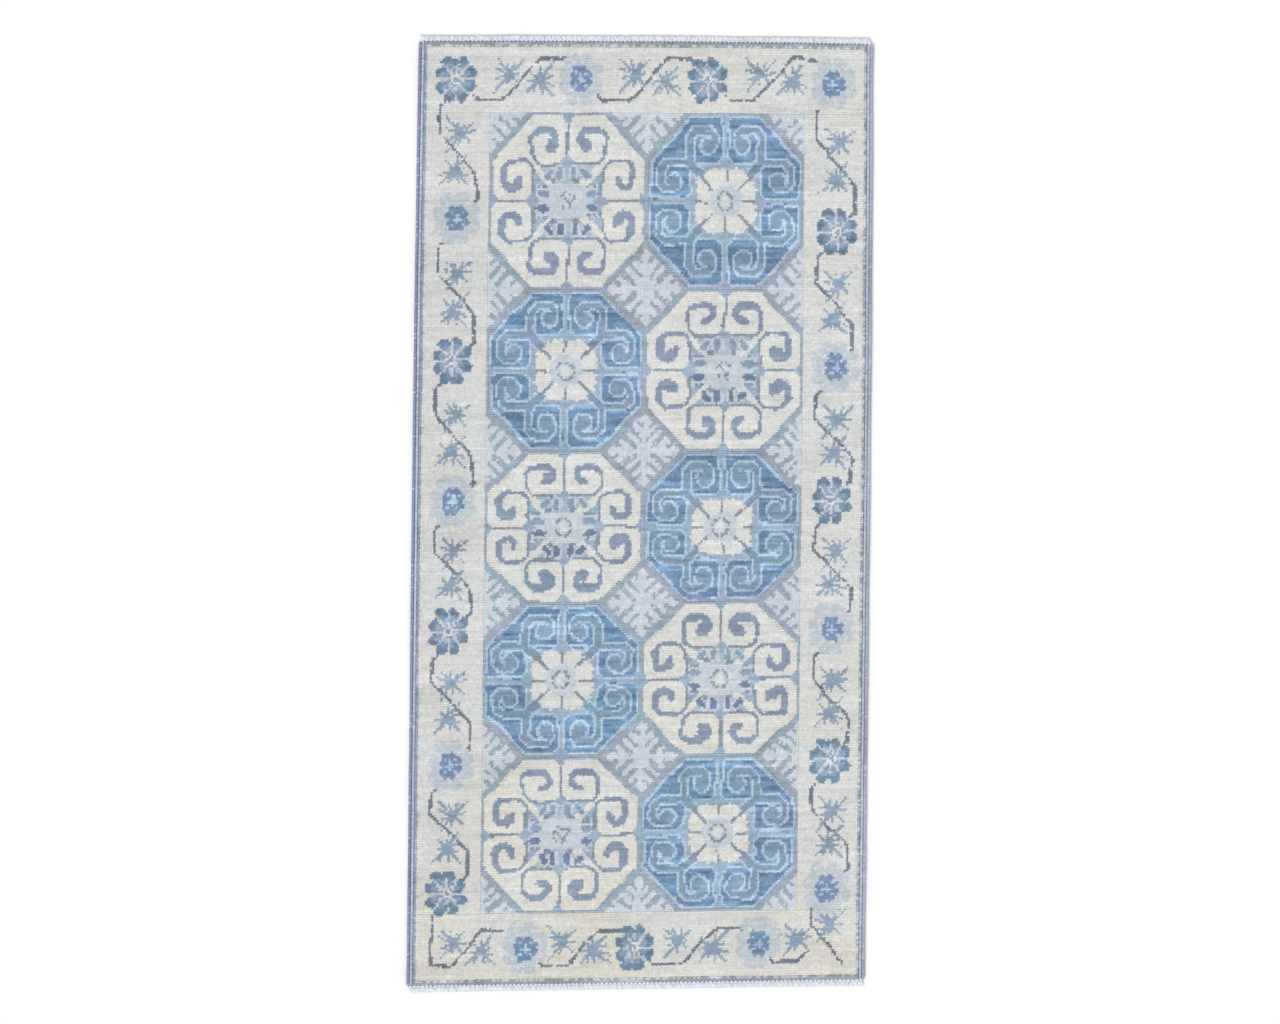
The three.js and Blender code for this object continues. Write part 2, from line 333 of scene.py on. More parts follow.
# a blue medallion: deep blue ground, eight outlined scroll ribbons, a pale outline, and
# an ivory rosette of lobed petals with a pale disc on a grey-blue middle
def blueMedallion(centre, stretchY, slip):
    m = medallion
    put = lambda pts, fx=1, fy=1, swap=False: placed(pts, centre, fx, fy, swap, 1, stretchY)
    w, h = m["halfWidth"], m["halfLength"]
    cutX, cutY = loom["cutAcross"], loom["cutAlong"]
    fillKnots(put(octagon(w - 1.3, h - 1.2, cutX, cutY)), "paleLine")
    fillKnots(put(octagon(w - 2.3, h - 2.2, cutX - 0.5, cutY - 0.5)), "deepBlue")
    fillKnots(put(octagon(16.4, 15.0, 3.0, 3.0)), "groundBlue")
    ends = [m["ribbonEnd"] + slip.uniform(-0.4, 0.4, 2) for _ in scrollPlaces]
    for (fx, fy, swap), end in zip(scrollPlaces, ends):
        strokeKnots(put(m["ribbon"], fx, fy, swap), 4.5, "paleLine")
        dotKnots(put([end], fx, fy, swap)[0], 4.2, 4.3, "paleLine")
    for fx, fy, swap in scrollPlaces:
        strokeKnots(put([(-1.4, -34.2), (-1.4, -18.0), (-3.6, -15.8), (-14, -15.8)], fx, fy, swap),
                    1.1, "paleLine")
        strokeKnots(put([(-1.6, -34.0), (-3.4, -35.0)], fx, fy, swap), 1.0, "paleLine")
    for (fx, fy, swap), end in zip(scrollPlaces, ends):
        strokeKnots(put(m["ribbon"], fx, fy, swap), 2.5, "ribbonBlue")
        dotKnots(put([end], fx, fy, swap)[0], 3.1, 3.2, "ribbonBlue")
    for fx, fy, swap in sidePlaces:
        strokeKnots(put([(0, -34.5), (0, -17.0)], fx, fy, swap), 1.3, "groundBlue")
        fillKnots(put(m["wedge"], fx, fy, swap), "groundBlue")
        fillKnots(put(m["mate"], fx, fy, swap), "groundBlue")
    rosetteIvory(centre, stretchY)


# the ivory rosette: two scalloped petals on each side, parted by dark lines
def rosetteIvory(centre, stretchY):
    put = lambda pts, fx=1, fy=1, swap=False: placed(pts, centre, fx, fy, swap, 1, stretchY)
    petal = [(-0.4, -11.8), (-1.6, -13.8), (-3.4, -12.9), (-5.0, -14.2), (-6.6, -12.8),
             (-8.0, -13.4), (-9.2, -11.6), (-10.6, -10.4), (-8.6, -8.6), (-2, -2), (0, -2)]
    for fx, fy, swap in scrollPlaces:
        fillKnots(put(petal, fx, fy, swap), "fieldIvory")
    for fx, fy, swap in sidePlaces:
        strokeKnots(put([(0, -13.0), (0, -8.4)], fx, fy, swap), 0.95, "lineGrey")
    for fx, fy in quarters:
        strokeKnots(put([(-12.6, -11.4), (-6.2, -5.2)], fx, fy), (1.5, 1.2), "lineGrey")
    dotKnots(centre, 7.4, 6.8, "squarePale")
    ringKnots(centre, 3.6, 3.8)


# the leafy tree between medallions: radial strokes in each quarter, measured from the
# point where four cells meet
tree = dict(
    strokes=[((4.4, 2.2), (10.4, 8.0), 2.4), ((11.0, 2.2), (15.4, 5.6), 1.8),
             ((1.8, 5.6), (6.6, 10.8), 1.6), ((1.9, 11.6), (5.2, 15.2), 1.7)],
)


def treeMotif(centre, stretchUp, stretchDown, slip):
    for fx in (1, -1):
        for fy, stretchY in ((-1, stretchUp), (1, stretchDown)):
            for a, b, width in tree["strokes"]:
                ends = np.array([a, b]) + slip.uniform(-0.4, 0.4, (2, 2))
                width = width * slip.uniform(0.85, 1.15)
                strokeKnots(placed(ends, centre, fx, fy, False, 1, stretchY), width,
                            "treeBlue", 0.06)


# rows of the field where medallion rows meet
weights = np.cumsum((0,) + loom["rowWeights"]) / sum(loom["rowWeights"])
rowEdges = loom["fieldTop"] + weights * (loom["fieldBottom"] - loom["fieldTop"])
columnEdges = np.linspace(loom["fieldLeft"], loom["fieldRight"], 3)


def drawField():
    slip = np.random.default_rng(loom["seed"] + 1)
    draft[:] = yarnNumber["treePale"]
    halfCell = np.diff(rowEdges) / 2 / medallion["halfLength"]
    for j, y in enumerate(rowEdges):
        up = halfCell[max(j - 1, 0)]
        down = halfCell[min(j, len(halfCell) - 1)]
        for x in columnEdges:
            treeMotif((x, y), up, down, slip)
    w, h = medallion["halfWidth"], medallion["halfLength"]
    for row, (y0, y1) in enumerate(zip(rowEdges[:-1], rowEdges[1:])):
        for column, (x0, x1) in enumerate(zip(columnEdges[:-1], columnEdges[1:])):
            centre, stretchY = np.array([(x0 + x1) / 2, (y0 + y1) / 2]), halfCell[row]
            band = octagon(w + 0.3, h + 0.4, loom["cutAcross"] - 1.5, loom["cutAlong"] - 1.5)
            fillKnots(placed(band, centre, 1, 1, False, 1, stretchY), "treeBlue")
            if (row + column) % 2 == 0:
                ivoryMedallion(centre, stretchY, slip, row in medallion["ringedRows"])
            else:
                blueMedallion(centre, stretchY, slip)
    # blue diamonds where two medallions touch
    middles = [((a + b) / 2, y) for y in rowEdges
               for a, b in zip(columnEdges[:-1], columnEdges[1:])]
    middles += [(x, (a + b) / 2) for x in columnEdges for a, b in zip(rowEdges[:-1], rowEdges[1:])]
    for middle in middles:
        fillKnots(placed([(-4.0, 0), (0, -4.4), (4.0, 0), (0, 4.4)], middle), "groundBlue")


border = dict(
    # places of the rosettes, in knots: dark ones and pale ones
    dark=[(14.5, 15.8), (128, 16), (14.5, 135), (187, 80), (14.3, 250), (186, 195),
          (186.5, 306), (14.5, 361), (99.5, 385)],
    pale=[(70.5, 15.5), (184.8, 17), (15.3, 75), (186.5, 138), (15, 195), (186, 250),
          (15.5, 307), (185.5, 361), (49.5, 385), (154.5, 384)],
    petals=[(-3.9, -6.7), (1.6, -6.9), (5.7, -3.0), (6.0, 2.7),
            (1.9, 7.0), (-3.3, 7.1), (-6.3, 3.4), (-6.4, -2.0)],
    leafTips=[((-6.6, -6.2), 0.85), ((-1.8, -5.0), 1.0), ((2.2, -4.8), 0.9), ((6.2, -5.6), 0.9),
              ((-6.6, -2.2), 1.0), ((5.6, -0.8), 0.85), ((-5.6, 2.2), 1.2), ((-6.6, 7.6), 0.8),
              ((-1.0, 5.0), 0.95), ((4.2, 4.2), 0.8)],
)


# a dark rosette: eight petals with dark rims round a lattice of light knots
def darkRosette(centre, slip):
    centre = np.asarray(centre, float)
    dotKnots(centre, 7.4, 7.9, "mistBlue")
    for cx, cy in border["petals"]:
        out = 1.03 * np.array([cx, cy]) + slip.uniform(-0.25, 0.25, 2)
        dotKnots(centre + out, 2.9, 2.6, "petalBlue")
        dotKnots(centre + 0.78 * out, 1.7, 1.5, "petalLight", 0.1)
        if slip.random() < 0.5:
            dotKnots(centre + 1.16 * out, 1.2, 1.0, "vineSlate")
    dotKnots(centre, 4.2, 4.4, "petalLight")
    # light lines part the petals, and light knots make a small lattice in the middle
    for turn in np.arange(8) * math.pi / 4:
        ray = np.array([math.cos(turn), 1.06 * math.sin(turn)])
        strokeKnots([centre + 4.0 * ray, centre + 8.4 * ray], 0.85, "mistPale", 0.15)
        dotKnots(centre + 3.4 * ray, 0.95, 0.8, "mistPale")
        dotKnots(centre + 1.7 * ray, 0.75, 0.65, "fieldIvory")


# a pale rosette: a faint flower of eight petals round a blue flower half the size
def paleRosette(centre, slip):
    centre = np.asarray(centre, float)
    for cx, cy in border["petals"]:
        dotKnots(centre + (1.14 * cx + 0.5, 1.12 * cy), 3.5, 3.3, "rosettePale", 0.10)
    dotKnots(centre, 6.6, 6.4, "rosettePale", 0.05)
    for cx, cy in border["petals"]:
        out = 0.58 * np.array([cx + 0.9, cy]) + slip.uniform(-0.2, 0.2, 2)
        dotKnots(centre + out, 1.75, 1.6, "coreBlue")
    dotKnots(centre, 3.2, 3.2, "coreBlue")
    for a, b in (((0.2, -1.8), (0.2, 1.8)), ((-1.6, 0.2), (2.0, 0.2))):
        strokeKnots(placed([a, b], centre), 1.1, "paleLine")
    for fx, fy in quarters:
        dotKnots(centre + (2.4 * fx + 0.3, 2.4 * fy), 0.8, 0.7, "paleLine")


# a leaf: thin spikes that run out from a small thick body
def leafMotif(centre, flipX, flipY, slip, size=1.0):
    for tip, width in border["leafTips"]:
        tip = np.array(tip) * slip.uniform(0.86, 1.1) + slip.uniform(-0.4, 0.4, 2)
        line = placed([0.22 * tip, tip], centre, flipX * size, flipY * size)
        strokeKnots(line, (1.6, 0.95 * width), "leafBlue", 0.04)
    dotKnots(centre, 1.8, 2.2, "leafBlue")
    dotKnots(centre + slip.uniform(-0.5, 0.5, 2), 1.7, 2.0, "petalLight", 0.3)


# one span of the vine between two rosettes, along the border from start to end: a run
# beside the first, a slanting crossing and a run beside the second
def vineSpan(start, end, sideA, sideB, along, firstGap=9.5, lastGap=8.0):
    run = end - start
    turn = 0.12 * (sideB - sideA)
    bends = [(start + firstGap, sideA + turn), (start + firstGap + 1.8, sideA),
             (start + 0.38 * run, sideA), (start + 0.42 * run, sideA + turn),
             (start + 0.65 * run, sideB - 0.8 * turn), (start + 0.69 * run, sideB),
             (end - lastGap, sideB), (end - lastGap + 1.6, sideB - turn)]
    points = np.array(bends)
    if along == "y":
        points = points[:, ::-1]
    strokeKnots(points, (1.2, 1.3, 1.2, 1.25, 1.2, 1.6, 1.7, 1.3), "vineSlate", 0.05)


def drawBorder():
    slip = np.random.default_rng(loom["seed"] + 5)
    inField = ((np.arange(loom["rows"]) >= loom["fieldTop"])
               & (np.arange(loom["rows"]) < loom["fieldBottom"]))[:, None] & (
        (np.arange(loom["columns"]) >= loom["fieldLeft"])
        & (np.arange(loom["columns"]) < loom["fieldRight"]))[None, :]
    draft[~inField] = yarnNumber["ivory"]
    top = [14, 70.5, 128, 184.8]
    for a, c in zip(top[:-1], top[1:]):
        vineSpan(a, c, 24.7, 6.8, "x", 8.0, 7.5)
        leafMotif((a + 0.43 * (c - a), 13.4), 1, 1, slip)
        leafMotif((a + 0.665 * (c - a), 16.4), -1, -1, slip)
    left = [15.5, 75, 135, 195, 250, 307, 361]
    for a, c in zip(left[:-1], left[1:]):
        vineSpan(a, c, 7.0, 24.4, "y", 10, 7.5)
        leafMotif((17.0, a + 0.39 * (c - a)), 1, 1, slip)
        leafMotif((14.0, a + 0.655 * (c - a)), -1, -1, slip)
    right = [17, 80, 138, 195, 250, 306, 361]
    for a, c in zip(right[:-1], right[1:]):
        vineSpan(a, c, 178.2, 194.6, "y", 10, 8)
        leafMotif((188, a + 0.40 * (c - a)), 1, 1, slip)
        leafMotif((185.4, a + 0.65 * (c - a)), -1, -1, slip)
    bottom = [49.5, 99.5, 154.5]
    for a, c in zip(bottom[:-1], bottom[1:]):
        vineSpan(a, c, 392.3, 377.4, "x", 7.0, 7.0)
        leafMotif((a + 0.36 * (c - a), 382.6), 1, 1, slip)
        leafMotif((a + 0.63 * (c - a), 386.0), -1, -1, slip)
    # the corners of the bottom end: the vine turns at the left and ends short at the right
    strokeKnots([(9, 369), (7.4, 371), (7.2, 392.2), (17, 392.3), (28.5, 379), (31.5, 377.2),
                 (41, 377.6)], (1.2, 1.3, 1.4, 1.3, 1.2, 1.4, 1.3), "vineSlate", 0.05)
    leafMotif((17.5, 382.4), 1, 1, slip)
    leafMotif((29.6, 386.0), -1, -1, slip)
    strokeKnots([(161.5, 391), (163.5, 392.4), (173, 392.2), (177, 388)], 1.3, "vineSlate", 0.05)
    leafMotif((172.6, 382.8), 1, 1, slip)
    strokeKnots([(180, 364), (178.2, 366.5), (178.3, 376), (193, 393)], 1.3, "vineSlate", 0.05)
    leafMotif((187.6, 376.2), 1, 1, slip)
    for centre in border["pale"]:
        paleRosette(centre, slip)
    for centre in border["dark"]:
        darkRosette(centre, slip)
    columns = np.arange(loom["columns"])
    s = loom["guardColumns"]
    for outer, inner in ((0, 1), (-1, -2)):
        draft[outer, :] = yarnNumber["guardGrey"]
        draft[inner, :] = np.where((columns + slip.integers(0, 3, len(columns))) % 4 < 2,
                                   yarnNumber["guardGrey"], yarnNumber["guardLight"])
    # the side guard is a full column on the left and a paler, broken one on the right
    side = slip.random((loom["rows"] - 4, 3))
    draft[2:-2, :s] = yarnNumber["sideSlate"]
    draft[2:-2, -s:] = np.where(side[:, :1] < 0.55,
                               yarnNumber["sideSlate"], yarnNumber["guardLight"])
    draft[2:-2, s] = np.where(side[:, 1] < 0.4, yarnNumber["guardLight"], draft[2:-2, s])
    draft[2:-2, -s - 1] = np.where(side[:, 2] < 0.2, yarnNumber["guardLight"], draft[2:-2, -s - 1])


drawField()
drawBorder()
print("design drawn:", len(yarns), "yarns on", draft.size, "knots")

# how each yarn varies, as shares of its colour: broad bands along the rows, soft patches,
# runs of one length of yarn, and knot to knot; hue moves between teal and violet;
# rightLight is painted light, darker towards the left side and lighter towards the right
dye = dict(band=0.022, patch=0.018, run=0.038, knot=0.036, hue=0.6, hueMost=1.9,
           rightLight=0.022, warmFrom=0.80, warmCurve=1.2, warmShare=0.6, warmBase=0.02,
           warmPatch=0.18,
           lively=dict(deepBlue=4.6, ribbonBlue=2.7, paleLine=2.4, scrollBlue=1.9,
                       groundBlue=2.0, dropBlue=1.8, petalBlue=2.2, petalLight=2.0,
                       coreBlue=2.2, vineSlate=2.4, leafBlue=2.0, treeBlue=1.8, guardGrey=2.4,
                       guardLight=2.0, sideSlate=2.4, lineGrey=1.8),
           teal=(-0.014, 0.004, 0.0), violet=(0.010, -0.006, 0.005))


# colour of every knot: its yarn's colour, times the bands, patches, runs and knot noise,
# with more of each in the lively yarns, and painted light that rises from the left side to the
# right
def dyeAndLightKnots():
    rows, columns = draft.shape
    source = np.random.default_rng(loom["seed"] + 2)
    palette = np.array([surfaceColour(rgb) for rgb in yarns.values()])
    colour = palette[draft]
    warm = surfaceColour(yarns["warmIvory"]) / surfaceColour(yarns["ivory"])
    y = np.arange(rows)[:, None] / rows
    warmth = (np.clip((y - dye["warmFrom"]) / 0.2, 0, 1) ** dye["warmCurve"]
              * dye["warmShare"] + dye["warmBase"])
    warmth = warmth + dye["warmPatch"] * smoothNoise(rows, columns, 26, 40, source)
    onIvory = ((draft == yarnNumber["ivory"]) | (draft == yarnNumber["fieldIvory"]))[..., None]
    colour = np.where(onIvory, colour * (1 + np.clip(warmth, 0, 1)[..., None] * (warm - 1)), colour)
    lively = np.ones(len(yarns))
    for name, value in dye["lively"].items():
        lively[yarnNumber[name]] = value
    lively = lively[draft]
    band = (smoothNoise(rows, columns, 1.6, 70, source)
            + 0.7 * smoothNoise(rows, columns, 6, 60, source))
    patch = smoothNoise(rows, columns, 10, 12, source)
    run = (smoothNoise(rows, columns, 0.9, 5, source)
           + 0.7 * smoothNoise(rows, columns, 0.8, 22, source))
    knot = source.standard_normal((rows, columns))
    value = (dye["band"] * band * lively + dye["patch"] * patch * lively
             + dye["run"] * run * lively + dye["knot"] * knot * np.sqrt(lively))
    # painted light and shade: darker towards the left side, lighter towards the right
    value = value + dye["rightLight"] * np.linspace(-1, 1, columns) ** 3
    colour = colour * np.exp(value)[..., None]
    hue = (smoothNoise(rows, columns, 5, 40, source)
           + 0.7 * smoothNoise(rows, columns, 14, 16, source))
    teal, violet = np.array(dye["teal"]), np.array(dye["violet"])
    shift = np.where(hue[..., None] > 0, hue[..., None] * teal, -hue[..., None] * violet)
    reach = np.where(lively > 1, np.minimum(lively, dye["hueMost"]), dye["hue"])
    return np.clip(colour * (1 + shift * reach[..., None]), 0.004, 0.9)


knotColour = dyeAndLightKnots()
print("yarn dyed")

pile = dict(steps=3, rowValley=0.00085, columnValley=0.00045, knotRise=0.00022,
            softRise=0.00035, jitter=0.00028, wallKnots=1,
            wallOut=(0.0, 0.00035, 0.00045, 0.0002), wallDown=(0.0, 0.22, 0.6, 0.94),
            edgeWear=0.0009, wallGroove=0.00045, wallFuzz=0.00016)


# the pile as one lattice of points, three to a knot each way, with a ring of folded-down
# knots round it: place, height and colour of every lattice point
def pileLattice():
    source = np.random.default_rng(loom["seed"] + 3)
    n, ring = pile["steps"], pile["wallKnots"]
    rows, columns = loom["rows"], loom["columns"]
    gi = np.arange((columns + 2 * ring) * n + 1) - ring * n
    gj = np.arange((rows + 2 * ring) * n + 1) - ring * n
    pitchX = 2 * cloth["pileHalfWidth"] / columns
    pitchY = 2 * cloth["pileHalfLength"] / rows
    overX = np.maximum(-gi, gi - columns * n).clip(0, n)
    overY = np.maximum(-gj, gj - rows * n).clip(0, n)
    inX, inY = gi.clip(0, columns * n), gj.clip(0, rows * n)
    out = np.array(pile["wallOut"])
    x = (-cloth["pileHalfWidth"] + inX * pitchX / n + np.sign(gi - inX) * out[overX])[None, :]
    y = (cloth["pileHalfLength"] - inY * pitchY / n - np.sign(gj - inY) * out[overY])[:, None]
    shape = (len(gj), len(gi))
    inner = ((overX == 0)[None, :] & (overY == 0)[:, None]).astype(float)
    jitterX = pile["jitter"] * (0.5 * source.standard_normal(shape)
                                + smoothNoise(*shape, 24, 24, source))
    jitterY = pile["jitter"] * (0.5 * source.standard_normal(shape)
                                + smoothNoise(*shape, 24, 24, source))
    x = x + jitterX * inner
    y = y + jitterY * inner
    onColumn, onRow = (gi % n == 0)[None, :], (gj % n == 0)[:, None]
    # on the walls the knots stand out as upright tufts with a groove between them
    fuzz = pile["wallFuzz"] * source.standard_normal(shape)
    x = x - np.sign(gi - inX)[None, :] * (pile["wallGroove"] * onRow + fuzz)
    y = y + np.sign(gj - inY)[:, None] * (pile["wallGroove"] * onColumn + fuzz)
    knot = np.repeat(np.repeat(source.standard_normal((rows + 2 * ring, columns + 2 * ring)),
                               n, axis=0), n, axis=1)
    knot = np.pad(knot, ((0, 1), (0, 1)), mode="edge")
    dip = pile["rowValley"] * onRow + pile["columnValley"] * onColumn
    rise = (pile["knotRise"] * knot * ~(onRow | onColumn)
            + pile["softRise"] * smoothNoise(*shape, 45, 45, source)
            + 0.00012 * source.standard_normal(shape))
    room = np.minimum(np.minimum(inX, columns * n - inX)[None, :],
                      np.minimum(inY, rows * n - inY)[:, None]) / n
    wear = pile["edgeWear"] * np.exp(-room / 1.2)
    top = cloth["pileTop"] - 0.0004 - dip + rise - wear
    down = np.array(pile["wallDown"])
    fall = np.maximum(down[overX][None, :], down[overY][:, None])
    z = cloth["pileFoot"] + (top - cloth["pileFoot"]) * (1 - fall)
    # colour of the knot under each point; points between knots take either side
    side = source.integers(0, 2, shape)
    ki = np.clip((gi[None, :] - side * onColumn) // n, 0, columns - 1)
    side = source.integers(0, 2, shape)
    kj = np.clip((gj[:, None] - side * onRow) // n, 0, rows - 1)
    colour = knotColour[kj, ki]
    # painted shade: points in the valleys between rows and between columns darker, and the
    # folded-down wall knots darker the further they fall; the small random part is knot-to-knot
    # tone
    shade = 1 - 0.10 * onRow - 0.05 * onColumn + 0.02 * source.standard_normal(shape)
    shade = shade * (1 - 0.35 * fall)
    return settle(x, y, z), np.clip(colour * shade[..., None], 0.003, 0.92)


latticePlace, latticeColour = pileLattice()


# writes a mesh from points and blocks of faces, each block of one length; the first
# blocks up to smooth are shaded smooth, the rest flat
def meshObject(name, points, faces, colour=None, uv=None, smooth=99):
    mesh = bpy.data.meshes.new(name)
    counts = np.concatenate([np.full(len(block), block.shape[1]) for block in faces])
    loops = np.concatenate([block.ravel() for block in faces]).astype(np.int32)
    mesh.vertices.add(len(points))
    mesh.vertices.foreach_set("co", points.astype(np.float32).ravel())
    mesh.loops.add(len(loops))
    mesh.loops.foreach_set("vertex_index", loops)
    mesh.polygons.add(len(counts))
    mesh.polygons.foreach_set("loop_start",
                               np.concatenate([[0], np.cumsum(counts)[:-1]]).astype(np.int32))
    flags = np.concatenate([np.full(len(block), i < smooth) for i, block in enumerate(faces)])
    mesh.polygons.foreach_set("use_smooth", flags)
    mesh.update(calc_edges=True)
    if colour is not None:
        # the point colours hold the yarn colours together with the painted shade and light put into
        # them
        layer = mesh.color_attributes.new("yarnColourAndShade", "FLOAT_COLOR", "POINT")
        rgba = np.concatenate([colour, np.ones((len(colour), 1))], axis=1)
        layer.data.foreach_set("color", rgba.astype(np.float32).ravel())
    if uv is not None:
        layer = mesh.uv_layers.new(name="OFBake")
        layer.uv.foreach_set("vector", uv.astype(np.float32).ravel())
    mesh.validate()
    ob = bpy.data.objects.new(name, mesh)
    bpy.context.scene.collection.objects.link(ob)
    return ob


# numbers of the pile areas, knot by knot
def areaMap():
    area = np.zeros(draft.shape, int)
    y = (np.arange(loom["rows"]) + 0.5)[:, None]
    x = (np.arange(loom["columns"]) + 0.5)[None, :]
    names = {}

    def mark(name, where):
        names[name] = len(names) + 1
        area[np.broadcast_to(where, area.shape)] = names[name]

    inRows = (y > loom["fieldTop"]) & (y < loom["fieldBottom"])
    mark("border_pile_top", y < loom["fieldTop"])
    mark("border_pile_bottom", y > loom["fieldBottom"])
    mark("border_pile_left", inRows & (x < loom["fieldLeft"]))
    mark("border_pile_right", inRows & (x > loom["fieldRight"]))
    mark("field_ground_pile", inRows & (x > loom["fieldLeft"]) & (x < loom["fieldRight"]))
    g, s = loom["guardRows"], loom["guardColumns"]
    mark("side_guard_pile_left", x < s)
    mark("side_guard_pile_right", x > loom["columns"] - s)
    mark("end_guard_pile_top", y < g)
    mark("end_guard_pile_bottom", y > loom["rows"] - g)
    for row in range(len(loom["rowWeights"])):
        cy = (rowEdges[row] + rowEdges[row + 1]) / 2
        h = (rowEdges[row + 1] - rowEdges[row]) / 2 - 0.5
        for column, side in enumerate(("left", "right")):
            cx = (columnEdges[column] + columnEdges[column + 1]) / 2
            w = (columnEdges[1] - columnEdges[0]) / 2 - 0.5
            dx, dy = np.abs(x - cx), np.abs(y - cy)
            cut = (dx - (w - loom["cutAcross"])) / loom["cutAcross"] + (
                dy - (h - loom["cutAlong"])) / loom["cutAlong"]
            mark(f"medallion_pile_{side}_{row + 1}", (dx < w) & (dy < h) & (cut < 1))
    return np.pad(area, pile["wallKnots"], mode="edge"), names


area, areaNames = areaMap()


# one area of pile: the lattice faces of its knots, a wall of one face a knot side down
# to the foot, and a floor of one face a knot, so that the body is closed
def pileObject(name, material):
    n = pile["steps"]
    mask = area == areaNames[name]
    wide = latticePlace.shape[1]
    cells = np.repeat(np.repeat(mask, n, axis=0), n, axis=1)
    cj, ci = np.nonzero(cells)
    a = cj * wide + ci
    top = np.stack([a + wide, a + wide + 1, a + 1, a], axis=1)
    # floor: a point under each knot corner
    kj, ki = np.nonzero(mask)
    cornerWide = mask.shape[1] + 1
    k = kj * cornerWide + ki
    base = wide * latticePlace.shape[0]
    floors = [base + np.stack([k, k + 1, k + cornerWide + 1, k + cornerWide], axis=1)]
    if np.ptp(kj) > 4 * np.ptp(ki):
        floors = [f + base for f in stripFloor(kj, ki, cornerWide, 1)]
    elif np.ptp(ki) > 4 * np.ptp(kj):
        floors = [f[:, ::-1] + base for f in stripFloor(ki, kj, 1, cornerWide)]
    walls = []
    rim = []
    padded = np.pad(mask, 1)
    for dj, di in ((-1, 0), (1, 0), (0, -1), (0, 1)):
        outside = mask & ~padded[1 + dj:1 + dj + mask.shape[0], 1 + di:1 + di + mask.shape[1]]
        wj, wi = np.nonzero(outside)
        start = {(-1, 0): (0, 1), (1, 0): (1, 0), (0, -1): (0, 0), (0, 1): (1, 1)}[(dj, di)]
        stop = {(-1, 0): (0, 0), (1, 0): (1, 1), (0, -1): (1, 0), (0, 1): (0, 1)}[(dj, di)]
        topLine = [(wj * n + start[0] * n + (stop[0] - start[0]) * t) * wide
                   + wi * n + start[1] * n + (stop[1] - start[1]) * t
                   for t in range(n + 1)]
        low = [base + (wj + stop[0]) * cornerWide + wi + stop[1],
               base + (wj + start[0]) * cornerWide + wi + start[1]]
        walls.append(np.stack(topLine + low, axis=1)[:, ::-1])
        rim += low
    if name.startswith("medallion"):
        floors = [base + roundFloor(np.unique(np.concatenate(rim)) - base, cornerWide)]
    foot = latticePlace[::n, ::n].copy()
    lowest = cloth["pileFoot"]
    foot[..., 2] = lowest + floorLiftAt[::n, ::n]
    points = np.concatenate([latticePlace.reshape(-1, 3), foot.reshape(-1, 3)])
    # painted shade: the foot points under the walls and floors take the knot colour darkened
    footShadeColour = latticeColour[::n, ::n].reshape(-1, 3) * 0.6
    colour = np.concatenate([latticeColour.reshape(-1, 3), footShadeColour])
    faces = [top] + floors + walls
    used, renumber = np.unique(np.concatenate([f.ravel() for f in faces]), return_inverse=True)
    out, at = [], 0
    for f in faces:
        out.append(renumber[at:at + f.size].reshape(f.shape))
        at += f.size
    uv = pileMap(cj, ci, kj, ki, floors + walls, n)
    ob = meshObject(name, points[used], out, colour[used], uv, 1)
    ob.data.materials.append(material)
    return ob


# the floor of a long area: one face across for each knot of its length; the two end
# faces keep a point at every knot, where the end walls stand
def stripFloor(along, across, alongStep, acrossStep):
    j0, j1, i0, i1 = along.min(), along.max() + 1, across.min(), across.max() + 1
    j = np.arange(j0 + 1, j1 - 1) * alongStep
    left, right = i0 * acrossStep, i1 * acrossStep
    middle = np.stack([j + left, j + right, j + alongStep + right, j + alongStep + left], axis=1)
    line = np.arange(i0, i1 + 1) * acrossStep
    first = np.concatenate([j0 * alongStep + line, (j0 + 1) * alongStep + np.array([right, left])])
    last = np.concatenate([(j1 - 1) * alongStep + np.array([left, right]),
                               j1 * alongStep + line[::-1]])
    return [middle, np.stack([first, last])]


# the floor of a medallion: one face whose points follow its rim, in order of their angle
# round the middle
def roundFloor(rim, wide):
    j, i = rim // wide, rim % wide
    turn = np.arctan2(j - (j.min() + j.max()) / 2, i - (i.min() + i.max()) / 2)
    return rim[np.argsort(turn)][None, :]


# a flat map of an area: long areas are folded into strips side by side, so that every
# knot gets about as much room both ways; floor and walls share a small corner
def pileMap(cj, ci, kj, ki, others, n):
    low = np.array([kj.min(), ki.min()])
    size = np.array([kj.max() + 1, ki.max() + 1]) - low
    long = 0 if size[0] >= size[1] else 1
    folds = max(1, round(math.sqrt(size[long] / size[1 - long])))
    strip = math.ceil(size[long] / folds)
    cell = np.stack([cj, ci], axis=1)
    offset = np.array([[1, 0], [1, 1], [0, 1], [0, 0]])
    where = (cell[:, None, :] + offset) / n - low
    fold = (cell[:, long] // n - low[long]) // strip
    alongStrip = (where[..., long] - (fold * strip)[:, None]) / strip
    acrossStrip = where[..., 1 - long] / size[1 - long]
    margin = 0.004
    u = (fold[:, None] + margin + acrossStrip * (1 - 2 * margin)) / folds
    v = 0.02 + 0.976 * alongStrip
    topUv = np.stack([u, v], axis=-1).reshape(-1, 2)
    rest = sum(f.size for f in others)
    corner = np.tile([[0.001, 0.001], [0.004, 0.001], [0.004, 0.004], [0.001, 0.004]],
                     (rest // 4 + 1, 1))[:rest]
    return np.concatenate([topUv, corner])


# the cloth's own lift under each lattice point, for the flat undersides
def latticeLift():
    n = pile["steps"]
    gi = (np.arange(latticePlace.shape[1]) - n) / n
    gj = (np.arange(latticePlace.shape[0]) - n) / n
    x = (-cloth["pileHalfWidth"]
         + gi.clip(0, loom["columns"]) * 2 * cloth["pileHalfWidth"] / loom["columns"])
    y = (cloth["pileHalfLength"]
         - gj.clip(0, loom["rows"]) * 2 * cloth["pileHalfLength"] / loom["rows"])
    return floorLift(x[None, :] + 0 * y[:, None], y[:, None] + 0 * x[None, :])


floorLiftAt = latticeLift()


